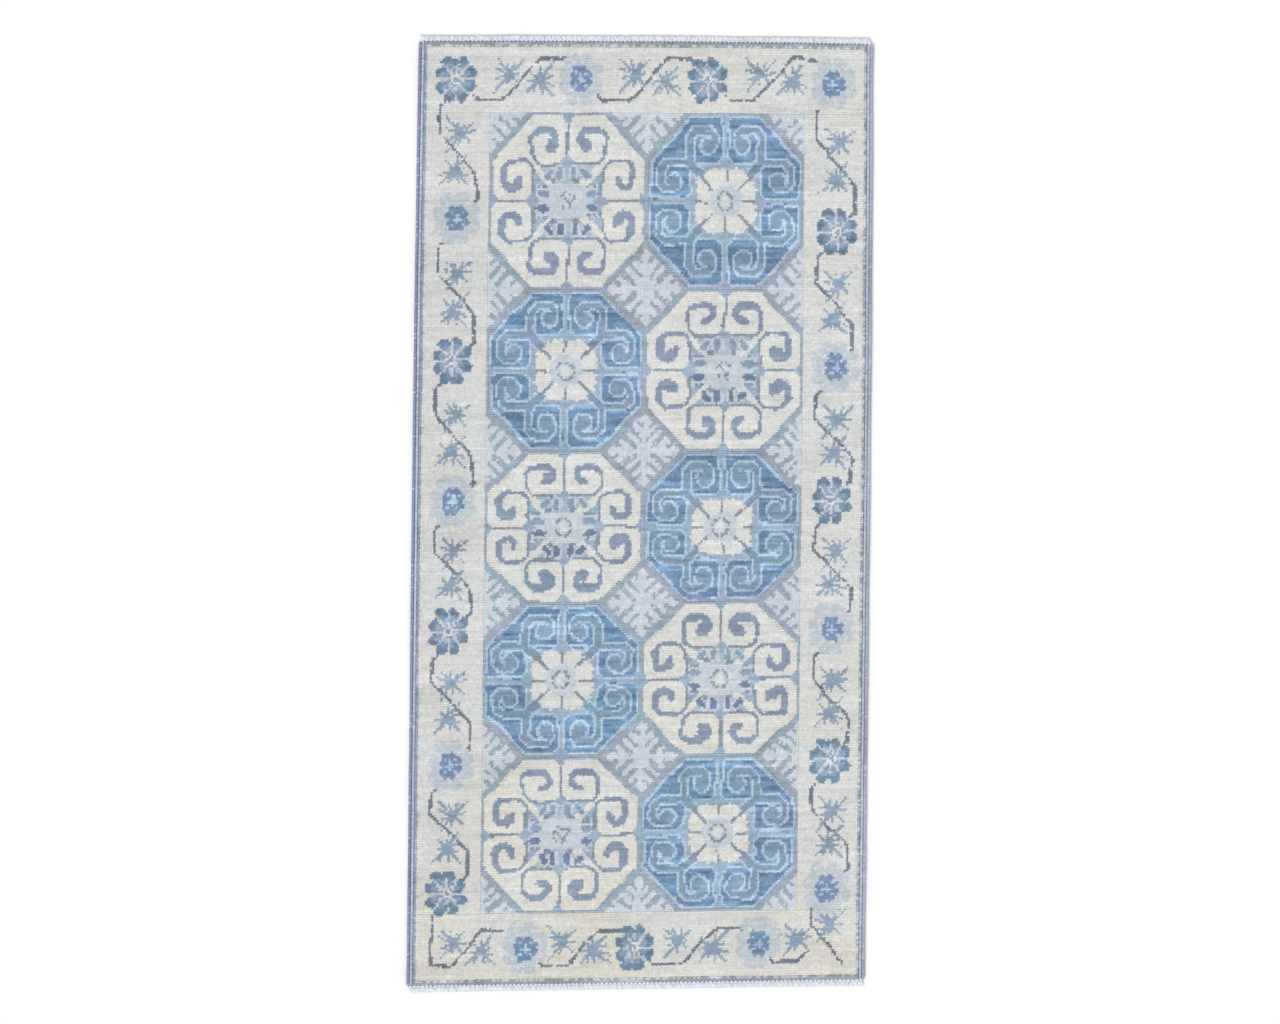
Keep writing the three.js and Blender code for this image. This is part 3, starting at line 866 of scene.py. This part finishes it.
# fibre detail shared by every yarn: value speckle, stray light fibres, and a height for
# the bump, from noise on object coordinates
def yarnGroup():
    group = bpy.data.node_groups.new("yarnFibre", "ShaderNodeTree")
    face = group.interface
    face.new_socket("Colour", in_out="INPUT", socket_type="NodeSocketColor")
    for name, value in (("Fibre size", 0.0006), ("Speckle", 0.12), ("Roughness", 0.9)):
        socket = face.new_socket(name, in_out="INPUT", socket_type="NodeSocketFloat")
        socket.default_value = value
    face.new_socket("Colour", in_out="OUTPUT", socket_type="NodeSocketColor")
    face.new_socket("Roughness", in_out="OUTPUT", socket_type="NodeSocketFloat")
    face.new_socket("Height", in_out="OUTPUT", socket_type="NodeSocketFloat")
    nodes, links = group.nodes, group.links
    given, result = nodes.new("NodeGroupInput"), nodes.new("NodeGroupOutput")
    place = nodes.new("ShaderNodeTexCoord")
    scale = nodes.new("ShaderNodeMath")
    scale.operation = "DIVIDE"
    scale.inputs[0].default_value = 1.0
    links.new(given.outputs["Fibre size"], scale.inputs[1])
    fine = nodes.new("ShaderNodeTexNoise")
    fine.inputs["Detail"].default_value = 3
    links.new(place.outputs["Object"], fine.inputs["Vector"])
    links.new(scale.outputs[0], fine.inputs["Scale"])
    broad = nodes.new("ShaderNodeTexNoise")
    broad.inputs["Scale"].default_value = 170
    broad.inputs["Detail"].default_value = 2
    links.new(place.outputs["Object"], broad.inputs["Vector"])
    both = nodes.new("ShaderNodeMath")
    both.operation = "ADD"
    links.new(fine.outputs["Fac"], both.inputs[0])
    links.new(broad.outputs["Fac"], both.inputs[1])
    centred = nodes.new("ShaderNodeMath")
    centred.operation = "SUBTRACT"
    centred.inputs[1].default_value = 1.0
    links.new(both.outputs[0], centred.inputs[0])
    amount = nodes.new("ShaderNodeMath")
    amount.operation = "MULTIPLY_ADD"
    amount.inputs[2].default_value = 1.0
    links.new(centred.outputs[0], amount.inputs[0])
    links.new(given.outputs["Speckle"], amount.inputs[1])
    tint = nodes.new("ShaderNodeVectorMath")
    tint.operation = "SCALE"
    links.new(given.outputs["Colour"], tint.inputs[0])
    links.new(amount.outputs[0], tint.inputs["Scale"])
    links.new(tint.outputs[0], result.inputs["Colour"])
    rough = nodes.new("ShaderNodeMath")
    rough.operation = "MULTIPLY_ADD"
    rough.inputs[1].default_value = 0.08
    links.new(centred.outputs[0], rough.inputs[0])
    links.new(given.outputs["Roughness"], rough.inputs[2])
    links.new(rough.outputs[0], result.inputs["Roughness"])
    links.new(fine.outputs["Fac"], result.inputs["Height"])
    return group


fibre = yarnGroup()


# a yarn material: the piece's own knot colours with the painted shade and light in them, or one
# colour, through the fibre group
def yarnMaterial(name, colour=None, speckle=0.3, size=0.0007,
                 roughness=0.92, bump=0.35, sheen=0.15):
    material = bpy.data.materials.new(name)
    material.use_nodes = True
    nodes, links = material.node_tree.nodes, material.node_tree.links
    shader = nodes["Principled BSDF"]
    group = nodes.new("ShaderNodeGroup")
    group.node_tree = fibre
    group.inputs["Fibre size"].default_value = size
    group.inputs["Speckle"].default_value = speckle
    group.inputs["Roughness"].default_value = roughness
    if colour is None:
        source = nodes.new("ShaderNodeAttribute")
        source.attribute_name = "yarnColourAndShade"
        links.new(source.outputs["Color"], group.inputs["Colour"])
    else:
        group.inputs["Colour"].default_value = (*surfaceColour(colour), 1)
    links.new(group.outputs["Colour"], shader.inputs["Base Color"])
    links.new(group.outputs["Roughness"], shader.inputs["Roughness"])
    bumpNode = nodes.new("ShaderNodeBump")
    bumpNode.inputs["Strength"].default_value = bump
    bumpNode.inputs["Distance"].default_value = 0.0006
    links.new(group.outputs["Height"], bumpNode.inputs["Height"])
    links.new(bumpNode.outputs["Normal"], shader.inputs["Normal"])
    shader.inputs["Sheen Weight"].default_value = sheen
    shader.inputs["Sheen Roughness"].default_value = 0.5
    shader.inputs["Specular IOR Level"].default_value = 0.2
    return material


pileWool = yarnMaterial("pileWool")
for name in areaNames:
    ob = pileObject(name, pileWool)
    ob.name = name + "_wool"
    first = name.split("_")[0]
    if first == "medallion":
        _, _, side, row = name.split("_")
    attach(ob, "root")
    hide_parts(name)
print("pile knotted")

# the woven cotton cloth that the knots are tied to; the knots' backs show underneath
weave = dict(backBump=0.00035, step=10, backPale=0.25)


# closed sheet: a point under every knot, the top a plain grid of larger faces, and side
# faces that join the two
def foundation():
    source = np.random.default_rng(loom["seed"] + 4)
    rows, columns, step = loom["rows"], loom["columns"], weave["step"]
    w, l = cloth["pileHalfWidth"], cloth["pileHalfLength"]
    x = np.linspace(-w, w, columns + 1)[None, :]
    y = np.linspace(l, -l, rows + 1)[:, None]
    shape = (rows + 1, columns + 1)
    bump = weave["backBump"] * (0.5 + 0.5 * np.cos(math.pi * np.arange(columns + 1)))[None, :]
    z = 0.0001 + bump * (0.6 + 0.4 * source.random(shape))
    under = settle(x + 0 * y, y + 0 * x, z)
    tx, ty = x[:, ::step], y[::step]
    over = settle(tx + 0 * ty, ty + 0 * tx, np.full((rows // step + 1, columns // step + 1),
                                                    cloth["foundation"]))
    a = (np.arange(rows)[:, None] * (columns + 1) + np.arange(columns)[None, :]).ravel()
    bottom = np.stack([a, a + 1, a + columns + 2, a + columns + 1], axis=1)
    base, wide = under.shape[0] * under.shape[1], columns // step + 1
    b = base + (np.arange(rows // step)[:, None] * wide
                + np.arange(columns // step)[None, :]).ravel()
    top = np.stack([b + wide, b + wide + 1, b + 1, b], axis=1)
    sides = []
    k = np.arange(step + 1)
    for edge, reverse in (("start", False), ("end", True)):
        row = 0 if edge == "start" else rows
        at = np.arange(columns // step)[:, None] * step
        line = row * (columns + 1) + at + k
        upper = base + (row // step) * wide + np.arange(columns // step)[:, None] + np.array([1, 0])
        face = np.concatenate([line, upper], axis=1)
        sides.append(face[:, ::-1] if not reverse else face)
        column = 0 if edge == "start" else columns
        at = np.arange(rows // step)[:, None] * step
        line = (at + k) * (columns + 1) + column
        upper = base + (np.arange(rows // step)[:, None] + np.array([1, 0])) * wide + column // step
        face = np.concatenate([line, upper], axis=1)
        sides.append(face if not reverse else face[:, ::-1])
    points = np.concatenate([under.reshape(-1, 3), over.reshape(-1, 3)])
    kj, ki = (np.minimum(np.arange(rows + 1), rows - 1),
              np.minimum(np.arange(columns + 1), columns - 1))
    back = knotColour[kj][:, ki].reshape(-1, 3)
    cotton = surfaceColour((208, 204, 192))
    back = back * (1 - weave["backPale"]) + weave["backPale"] * cotton
    colour = np.concatenate([back, np.tile(cotton, (over.shape[0] * over.shape[1], 1))])
    uvBottom = np.stack([x + w + 0 * y, y + l + 0 * x], axis=-1).reshape(-1, 2)[bottom] / (4 * l)
    uvTop = np.stack([tx + w + 0 * ty, ty + l + 0 * tx], axis=-1)
    uvTop = uvTop.reshape(-1, 2)[top - base] / (4 * l)
    rest = sum(s.size for s in sides)
    corner = np.tile([[0.98, 0.98], [0.985, 0.98], [0.985, 0.985], [0.98, 0.985]],
                     (rest // 4 + 1, 1))[:rest]
    uv = np.concatenate([(uvBottom * 1.9 + 0.01).reshape(-1, 2),
                         (uvTop * 1.9 + (0.5, 0.01)).reshape(-1, 2), corner])
    return meshObject("foundation_cotton", points, [bottom, top] + sides, colour, uv)


cottonCloth = yarnMaterial("cottonCloth", speckle=0.25, size=0.0008, sheen=0.05)
cloth_ob = foundation()
cloth_ob.data.materials.append(cottonCloth)
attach(cloth_ob, "root")
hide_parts("foundation_weave")
print("foundation woven")

cords = dict(around=12, squareness=2.7, ringsPerTurn=3, yarnPitch=0.0026,
             groove=0.00042, slant=0.0006,
             boreGap=0.0003, coreLobes=3, coreTwist=0.024,
             leftOuter=(150, 156, 188), leftInner=(190, 202, 222),
             rightOuter=(178, 184, 205), rightInner=(199, 206, 221),
             # painted shadow: a dark plum tint on the outward side of the outer cords, strong on
             # the left and faint on the right, in patches along the cord
             fleck=(232, 236, 244), edgeShadowTint=(100, 98, 120), fleckShare=0.16,
             leftEdgeShadow=0.75, rightEdgeShadow=0.12, edgeShadowPatch=110,
             core=(216, 211, 198))


# a wrapped cord: slightly squared circles along the side, each turn of yarn a rounded
# ridge, and a bore left for the core; rings lean by the slant as turns of yarn do
def wrapTube(name, x, side, place):
    c = cords
    source = np.random.default_rng(loom["seed"] + 11 + int(x * 1000) % 97)
    length, per = 2 * cloth["pileHalfLength"], c["ringsPerTurn"]
    turns = int(length / c["yarnPitch"])
    ring = np.arange(turns * per + 1)
    theta = 2 * math.pi * np.arange(c["around"]) / c["around"]
    turn = np.minimum(ring // per, turns - 1)
    pitchNoise = source.normal(0, 0.05, turns)
    phase = (ring % per) / per
    ridge = np.sin(math.pi * phase) ** 0.7
    ridge[-1] = 0
    radius = (cloth["cord"] / 2 - c["groove"] * (1 - ridge)
              + 0.00012 * source.standard_normal(turns)[turn] * (ridge > 0))
    radius = radius + 0.00012 * smoothNoise(len(ring), 1, 60, 1, source)[:, 0]
    along = ring * length / (turns * per) + c["yarnPitch"] * pitchNoise[turn] * (ridge > 0)
    lean = (c["slant"] * np.cos(theta)[None, :]
            * np.minimum(1, np.minimum(ring, ring[::-1]) / 8)[:, None])
    y = -cloth["pileHalfLength"] + along[:, None] + lean
    power = c["squareness"]
    out = (radius[:, None]
           / (np.abs(np.cos(theta)) ** power + np.abs(np.sin(theta)) ** power) ** (1 / power))
    px = x + out * np.cos(theta)
    pz = np.maximum(cloth["cord"] / 2 + out * np.sin(theta), 0)
    outer = settle(px, y, pz)
    bore = cloth["core"] / 2 + c["boreGap"]
    innerRing = np.linspace(0, length, 90)[:, None] - cloth["pileHalfLength"]
    ix = x + bore * np.cos(theta)[None, :] + 0 * innerRing
    iz = cloth["cord"] / 2 + bore * np.sin(theta)[None, :] + 0 * innerRing
    inner = settle(ix, innerRing + 0 * ix, iz)
    k = np.arange(c["around"])
    nextK = (k + 1) % c["around"]
    r = np.arange(len(ring) - 1)[:, None] * c["around"]
    skin = np.stack([r + nextK, r + k, r + c["around"] + k, r + c["around"] + nextK], axis=-1)
    base = len(ring) * c["around"]
    q = base + np.arange(89)[:, None] * c["around"]
    lining = np.stack([q + k, q + nextK, q + c["around"] + nextK, q + c["around"] + k], axis=-1)
    last = (len(ring) - 1) * c["around"]
    lastIn = base + 89 * c["around"]
    capA = np.stack([k, nextK, base + nextK, base + k], axis=-1)
    capB = np.stack([last + nextK, last + k, lastIn + k, lastIn + nextK], axis=-1)
    wool = surfaceColour(c[side + place.capitalize()])
    tone = (1 + 0.07 * source.standard_normal(turns)
            + 0.08 * smoothNoise(turns, 1, 40, 1, source)[:, 0])
    turnColour = wool * tone[:, None]
    flecked = source.random(turns) < (c["fleckShare"] if place == "inner" else 0.05)
    turnColour = np.where(flecked[:, None], 0.5 * turnColour + 0.5 * surfaceColour(c["fleck"]),
                          turnColour)
    # painted shade: each turn darker down into the groove between turns
    colour = (turnColour[turn][:, None, :] * (0.8 + 0.2 * ridge)[:, None, None]
              + 0 * theta[None, :, None])
    # painted shadow: the outer cord's outward side darkened towards plum, strongly on the left and
    # faintly on the right, in patches along its length
    if place == "outer":
        facing = np.clip(np.cos(theta) * (1 if side == "right" else -1), 0, 1)[None, :, None] ** 2
        patch = 0.45 + 0.5 * smoothNoise(len(ring), 1, c["edgeShadowPatch"], 1, source)
        share = c[side + "EdgeShadow"] * np.clip(patch, 0.1, 1)[..., None] * facing
        colour = colour * (1 - share) + share * surfaceColour(c["edgeShadowTint"])
    # the bore's lining takes the wool darkened: painted shade inside the bore
    colour = np.concatenate([colour.reshape(-1, 3),
                             np.tile(wool * 0.6, (inner.shape[0] * inner.shape[1], 1))])
    faces = [skin.reshape(-1, 4), lining.reshape(-1, 4), capA, capB]
    fold = 40
    share = np.arange(len(ring) - 1) / (len(ring) - 1) * fold
    column, upRow = share.astype(int).clip(0, fold - 1), share - share.astype(int)
    u0 = (column[:, None] + 0.03 + 0.94 * k / c["around"]) / fold
    u1 = (column[:, None] + 0.03 + 0.94 * (k + 1) / c["around"]) / fold
    v0 = 0.03 + 0.96 * upRow[:, None] + 0 * u0
    v1 = v0 + 0.96 * fold / (len(ring) - 1)
    skinUv = np.stack([np.stack([u1, v0], -1), np.stack([u0, v0], -1), np.stack([u0, v1], -1),
                       np.stack([u1, v1], -1)], axis=-2).reshape(-1, 2)
    rest = (lining.size + capA.size + capB.size)
    corner = np.tile([[0.001, 0.001], [0.01, 0.001], [0.01, 0.02], [0.001, 0.02]],
                     (rest // 4 + 1, 1))[:rest]
    return meshObject(name, np.concatenate([outer.reshape(-1, 3), inner.reshape(-1, 3)]), faces,
                      np.clip(colour, 0.003, 0.9), np.concatenate([skinUv, corner]))


# a twisted cotton rod of three lobes: a circle whose radius waves with the angle, turned
# steadily along the cord
def coreRod(name, x):
    c = cords
    length = 2 * cloth["pileHalfLength"]
    rings = 180
    ring = np.linspace(0, 1, rings)[:, None]
    theta = (2 * math.pi * np.arange(12) / 12)[None, :]
    turned = theta + 2 * math.pi * ring * length / (c["coreTwist"] * 3)
    radius = cloth["core"] / 2 * (0.9 + 0.1 * np.cos(c["coreLobes"] * turned))
    px = x + radius * np.cos(theta)
    pz = cloth["cord"] / 2 + radius * np.sin(theta)
    points = settle(px, -cloth["pileHalfLength"] + ring * length + 0 * theta, pz)
    k, nextK = np.arange(12), (np.arange(12) + 1) % 12
    r = np.arange(rings - 1)[:, None] * 12
    skin = np.stack([r + nextK, r + k, r + 12 + k, r + 12 + nextK], axis=-1).reshape(-1, 4)
    caps = [k[None, :], ((rings - 1) * 12 + k[::-1])[None, :]]
    return meshObject(name, points.reshape(-1, 3), [skin] + caps)


wrapWool = yarnMaterial("wrapWool", speckle=0.35, size=0.0006, sheen=0.2)
coreCotton = yarnMaterial("coreCotton", colour=cords["core"], speckle=0.3, size=0.0006, sheen=0.05)
innerX = cloth["pileHalfWidth"] + cloth["gap"] + cloth["cord"] / 2
outerX = innerX + cloth["gap"] + cloth["cord"]
for side, sign in (("left", -1), ("right", 1)):
    for place, x in (("inner", innerX), ("outer", outerX)):
        wrap = wrapTube(f"selvedge_{side}_{place}_wool", sign * x, side, place)
        wrap.data.materials.append(wrapWool)
        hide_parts(f"selvedge_wrap_{side}_{place}")
        core = coreRod(f"selvedge_{side}_{place}_cotton", sign * x)
        core.data.materials.append(coreCotton)
        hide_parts(f"selvedge_core_{side}_{place}")
        for ob in (wrap, core):
            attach(ob, "root")
print("side cords wrapped")

ends = dict(webShade=0.10, webMottle=0.03, gapReach=0.55,
            warps=400, webColour=(240, 243, 255), warpColour=(243, 246, 255),
            # gapShadowColour is painted shadow for the gaps between the lock stitches
            stitchColour=(248, 250, 255), gapShadowColour=(112, 124, 134), gapWidth=0.0026,
            webDip=0.0004, strandRadius=0.0009, strandSides=4, strandParts=3, slant=0.0034,
            stitchPitch=0.0074, stitchRadius=0.00105, stitchSides=6)
endHalfWidth = cloth["halfWidth"] - cloth["endInset"]
webFoot = cloth["pileHalfLength"] + cloth["gap"]
warpFoot = webFoot + cloth["webLength"] + cloth["gap"]


# tubes of several sides along many short paths at once: paths is tubes by points by 3,
# radius is tubes by points; caps close the ends
def manyTubes(name, paths, radius, sides, colour):
    tubes, count, _ = paths.shape
    run = np.gradient(paths, axis=1)
    run /= np.linalg.norm(run, axis=2, keepdims=True)
    up = np.array([0, 0, 1.0])
    across = np.cross(run, up)
    across /= np.maximum(np.linalg.norm(across, axis=2, keepdims=True), 1e-9)
    high = np.cross(across, run)
    theta = 2 * math.pi * np.arange(sides) / sides
    ringX, ringY = np.cos(theta)[None, None, :, None], np.sin(theta)[None, None, :, None]
    points = (paths[:, :, None, :] + radius[:, :, None, None]
              * (ringX * across[:, :, None, :] + ringY * high[:, :, None, :]))
    points[..., 2] = np.maximum(points[..., 2], 0)
    k, nextK = np.arange(sides), (np.arange(sides) + 1) % sides
    r = (np.arange(tubes)[:, None] * count + np.arange(count - 1)[None, :]).ravel()[:, None] * sides
    skin = np.stack([r + nextK, r + k, r + sides + k, r + sides + nextK], axis=-1).reshape(-1, 4)
    start = np.arange(tubes)[:, None] * count * sides
    caps = [start + k[None, :], start + (count - 1) * sides + k[::-1][None, :]]
    colours = np.repeat(colour.reshape(-1, 3), sides, axis=0)
    # map: tubes in a square block of cells
    grid = math.ceil(math.sqrt(tubes))
    cell = np.stack([np.arange(tubes) % grid, np.arange(tubes) // grid], axis=-1) / grid
    segment = np.arange(count - 1)
    corners = []
    for dk, ds in ((1, 0), (0, 0), (0, 1), (1, 1)):
        u = cell[:, None, None, 0] + (0.05 + 0.9 * (k + dk) / sides)[None, None, :] / grid
        v = (cell[:, None, None, 1]
             + (0.05 + 0.9 * (segment + ds) / (count - 1))[None, :, None] / grid)
        corners.append(np.stack([u + 0 * v, v + 0 * u], axis=-1))
    uv = np.stack(corners, axis=-2).reshape(-1, 2)
    capUv = np.repeat(cell, 2 * sides, axis=0) + 0.02 / grid
    return meshObject(name, points.reshape(-1, 3), [skin] + caps, np.clip(colours, 0.003, 0.95),
                      np.concatenate([uv, capUv]))


# the flat-woven web: a closed strip whose top dips between crossing threads, warps one
# way and wefts the other
def webStrip(name, direction):
    source = np.random.default_rng(loom["seed"] + 21 + direction)
    nx, ny = 2 * ends["warps"], 6
    x = np.linspace(-endHalfWidth, endHalfWidth, nx + 1)[None, :]
    t = np.linspace(0, 1, ny + 1)[:, None]
    y = direction * (webFoot + cloth["webLength"] * t) + 0 * x
    over = (-1.0) ** (np.arange(nx + 1)[None, :] // 2 + np.arange(ny + 1)[:, None])
    dip = ends["webDip"] * (0.5 - 0.5 * over) + 0.0001 * source.random((ny + 1, nx + 1))
    top = settle(x + 0 * y, y, cloth["foundation"] - dip)
    under = settle(x[:, ::8] + 0 * y[:, ::8], y[:, ::8], np.full((ny + 1, nx // 8 + 1), 0.0))
    a = (np.arange(ny)[:, None] * (nx + 1) + np.arange(nx)[None, :]).ravel()
    upper = np.stack([a, a + 1, a + nx + 2, a + nx + 1], axis=1)
    base, wide = (nx + 1) * (ny + 1), nx // 8 + 1
    b = base + (np.arange(ny)[:, None] * wide + np.arange(nx // 8)[None, :]).ravel()
    lower = np.stack([b + wide, b + wide + 1, b + 1, b], axis=1)
    k = np.arange(9)
    faces = [upper, lower]
    for row in (0, ny):
        line = row * (nx + 1) + np.arange(nx // 8)[:, None] * 8 + k
        low = base + row * wide + np.arange(nx // 8)[:, None] + np.array([1, 0])
        face = np.concatenate([line, low], axis=1)
        faces.append(face[:, ::-1] if row == 0 else face)
    for column, lowColumn in ((0, 0), (nx, nx // 8)):
        j = np.arange(ny)
        line = np.stack([j * (nx + 1) + column, (j + 1) * (nx + 1) + column,
                         base + (j + 1) * wide + lowColumn, base + j * wide + lowColumn], axis=1)
        faces.append(line if column == 0 else line[:, ::-1])
    if direction < 0:
        faces = [f[:, ::-1] for f in faces]
    wool = surfaceColour(ends["webColour"])
    # painted shade: the web darker where its top dips between crossing threads, with random mottle
    tone = (1 - ends["webShade"] * (0.5 - 0.5 * over)
            + ends["webMottle"] * source.standard_normal(over.shape))
    # painted shadow: the web is coloured dark in the gaps between the stitches, where the deep gaps
    # lie in shade
    pitch = 2 * endHalfWidth / int(2 * endHalfWidth / ends["stitchPitch"])
    phase = (x + endHalfWidth) / pitch
    gap = (np.abs(phase - np.round(phase)) * pitch < ends["gapWidth"] / 2) & (t < ends["gapReach"])
    topColour = np.where(gap[..., None], surfaceColour(ends["gapShadowColour"]), wool)
    # the underside takes the wool darkened: painted shade
    colour = np.concatenate([(topColour * tone[..., None]).reshape(-1, 3),
                             np.tile(wool * 0.8, (wide * (ny + 1), 1))])
    # map: the strip is cut into folds that lie one above the other
    folds = 20
    column = np.arange(nx)[None, :] + 0 * np.arange(ny)[:, None]
    fold = column * folds // nx
    u0, v0 = column * folds / nx - fold, (fold + 0.05 + 0.9 * np.arange(ny)[:, None] / ny) / folds
    du, dv = folds / nx, 0.9 / ny / folds
    topUv = np.stack([u0, v0, u0 + du, v0, u0 + du, v0 + dv, u0, v0 + dv], axis=-1).reshape(-1, 2)
    if direction < 0:
        topUv = topUv.reshape(-1, 4, 2)[:, ::-1].reshape(-1, 2)
    rest = sum(f.size for f in faces[1:])
    corner = np.tile([[0.001, 0.001], [0.004, 0.001], [0.004, 0.002], [0.001, 0.002]],
                     (rest // 4 + 1, 1))[:rest]
    return meshObject(name, np.concatenate([top.reshape(-1, 3), under.reshape(-1, 3)]),
                      faces, np.clip(colour, 0, 0.95), np.concatenate([topUv, corner]))


# trimmed warp ends: one slanting, tapering strand for each warp, all leaning one way
def warpStrands(name, direction):
    source = np.random.default_rng(loom["seed"] + 31 + direction)
    n = ends["warps"] * 2
    parts = ends["strandParts"]
    x = np.linspace(-endHalfWidth + 0.002, endHalfWidth - 0.002, n) + source.normal(0, 0.0003, n)
    t = np.linspace(0, 1, parts + 1)[None, :]
    reach = cloth["warpEndLength"] * source.uniform(0.88, 1.0, n)[:, None]
    slant = -direction * ends["slant"] * source.normal(1, 0.22, n)[:, None]
    px = x[:, None] + slant * t ** 1.3
    py = direction * (warpFoot - 0.001 + (reach + 0.001) * t)
    height = 0.0012 + source.uniform(-0.0003, 0.0012, n)[:, None] * (1 - t) + 0.0006 * np.sin(
        math.pi * t) * source.uniform(0, 1, n)[:, None]
    paths = settle(px, py, height)
    radius = ends["strandRadius"] * source.uniform(0.8, 1.1, n)[:, None] * (1 - 0.35 * t ** 2)
    tone = 1 + 0.06 * source.standard_normal((n, 1)) - 0.12 * (source.random((n, 1)) < 0.15)
    colour = surfaceColour(ends["warpColour"]) * (tone + 0 * t)[..., None]
    return manyTubes(name, paths, radius, ends["strandSides"], colour)


# locking stitches: short slanting loops of cotton laid side by side over the web, with
# gaps between them
def lockStitches(name, direction):
    source = np.random.default_rng(loom["seed"] + 41 + direction)
    count = int(2 * endHalfWidth / ends["stitchPitch"])
    x = (np.arange(count) + 0.5) * 2 * endHalfWidth / count - endHalfWidth
    x = x + source.normal(0, 0.0003, count)
    t = np.linspace(-1, 1, 9)[None, :]
    half = source.uniform(0.0023, 0.0029, count)[:, None]
    px = x[:, None] + half * t
    py = direction * (webFoot + 0.0012 + 0.0004 * t * direction)
    rise = cloth["pileFoot"] + 0.0002 + 0.0007 * np.sqrt(np.maximum(1 - t ** 2, 0))
    paths = settle(px, py + 0 * px, rise + 0 * px)
    radius = (ends["stitchRadius"] * (0.45 + 0.55 * np.sqrt(np.maximum(1 - t ** 2, 0)))
              * source.uniform(0.85, 1.1, count)[:, None])
    tone = 1 + 0.04 * source.standard_normal((count, 1))
    colour = surfaceColour(ends["stitchColour"]) * (tone + 0 * t)[..., None]
    return manyTubes(name, paths, radius, ends["stitchSides"], colour)


endCotton = yarnMaterial("endCotton", speckle=0.2, size=0.0006, sheen=0.1)
for end, direction in (("top", 1), ("bottom", -1)):
    web = webStrip(f"end_web_{end}_cotton", direction)
    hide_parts(f"end_web_{end}")
    strands = warpStrands(f"warp_ends_{end}_cotton", direction)
    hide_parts(f"warp_ends_{end}")
    stitches = lockStitches(f"lock_stitches_{end}_cotton", direction)
    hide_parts(f"lock_stitch_row_{end}")
    for ob in (web, strands, stitches):
        ob.data.materials.append(endCotton)
        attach(ob, "root")
print("ends finished")

room = dict(floorSize=90.0, floorShade=0.92, skyLight=0.70, keyLight=1.6, keyAngle=25.0)


def plainFloor():
    half = room["floorSize"] / 2
    mesh = bpy.data.meshes.new("floor")
    mesh.from_pydata([(-half, -half, -0.0006), (half, -half, -0.0006), (half, half, -0.0006),
                      (-half, half, -0.0006)], [], [(0, 1, 2, 3)])
    floor = bpy.data.objects.new("floor", mesh)
    bpy.context.scene.collection.objects.link(floor)
    paint = bpy.data.materials.new("floorPaint")
    paint.use_nodes = True
    shader = paint.node_tree.nodes["Principled BSDF"]
    shader.inputs["Base Color"].default_value = (room["floorShade"],) * 3 + (1,)
    shader.inputs["Roughness"].default_value = 0.9
    shader.inputs["Specular IOR Level"].default_value = 0.1
    floor.data.materials.append(paint)
    return floor


def studioLight():
    world = bpy.data.worlds.new("softRoom")
    world.use_nodes = True
    world.node_tree.nodes["Background"].inputs["Color"].default_value = (1, 1, 1, 1)
    world.node_tree.nodes["Background"].inputs["Strength"].default_value = room["skyLight"]
    bpy.context.scene.world = world
    key = bpy.data.lights.new("key", "SUN")
    key.energy = room["keyLight"]
    key.angle = math.radians(room["keyAngle"])
    ob = bpy.data.objects.new("key", key)
    ob.rotation_euler = (math.radians(38), 0, math.radians(-40))
    bpy.context.scene.collection.objects.link(ob)


def overheadCamera():
    data = bpy.data.cameras.new("overhead")
    data.sensor_width = 36
    data.lens = 36 * 6.0 / 2.2805
    camera = bpy.data.objects.new("overhead", data)
    camera.location = (0.0004, 0.0030, 6.0)
    bpy.context.scene.collection.objects.link(camera)
    bpy.context.scene.camera = camera


plainFloor()
studioLight()
overheadCamera()
bpy.context.scene.view_settings.view_transform = "Standard"
print("stage set")
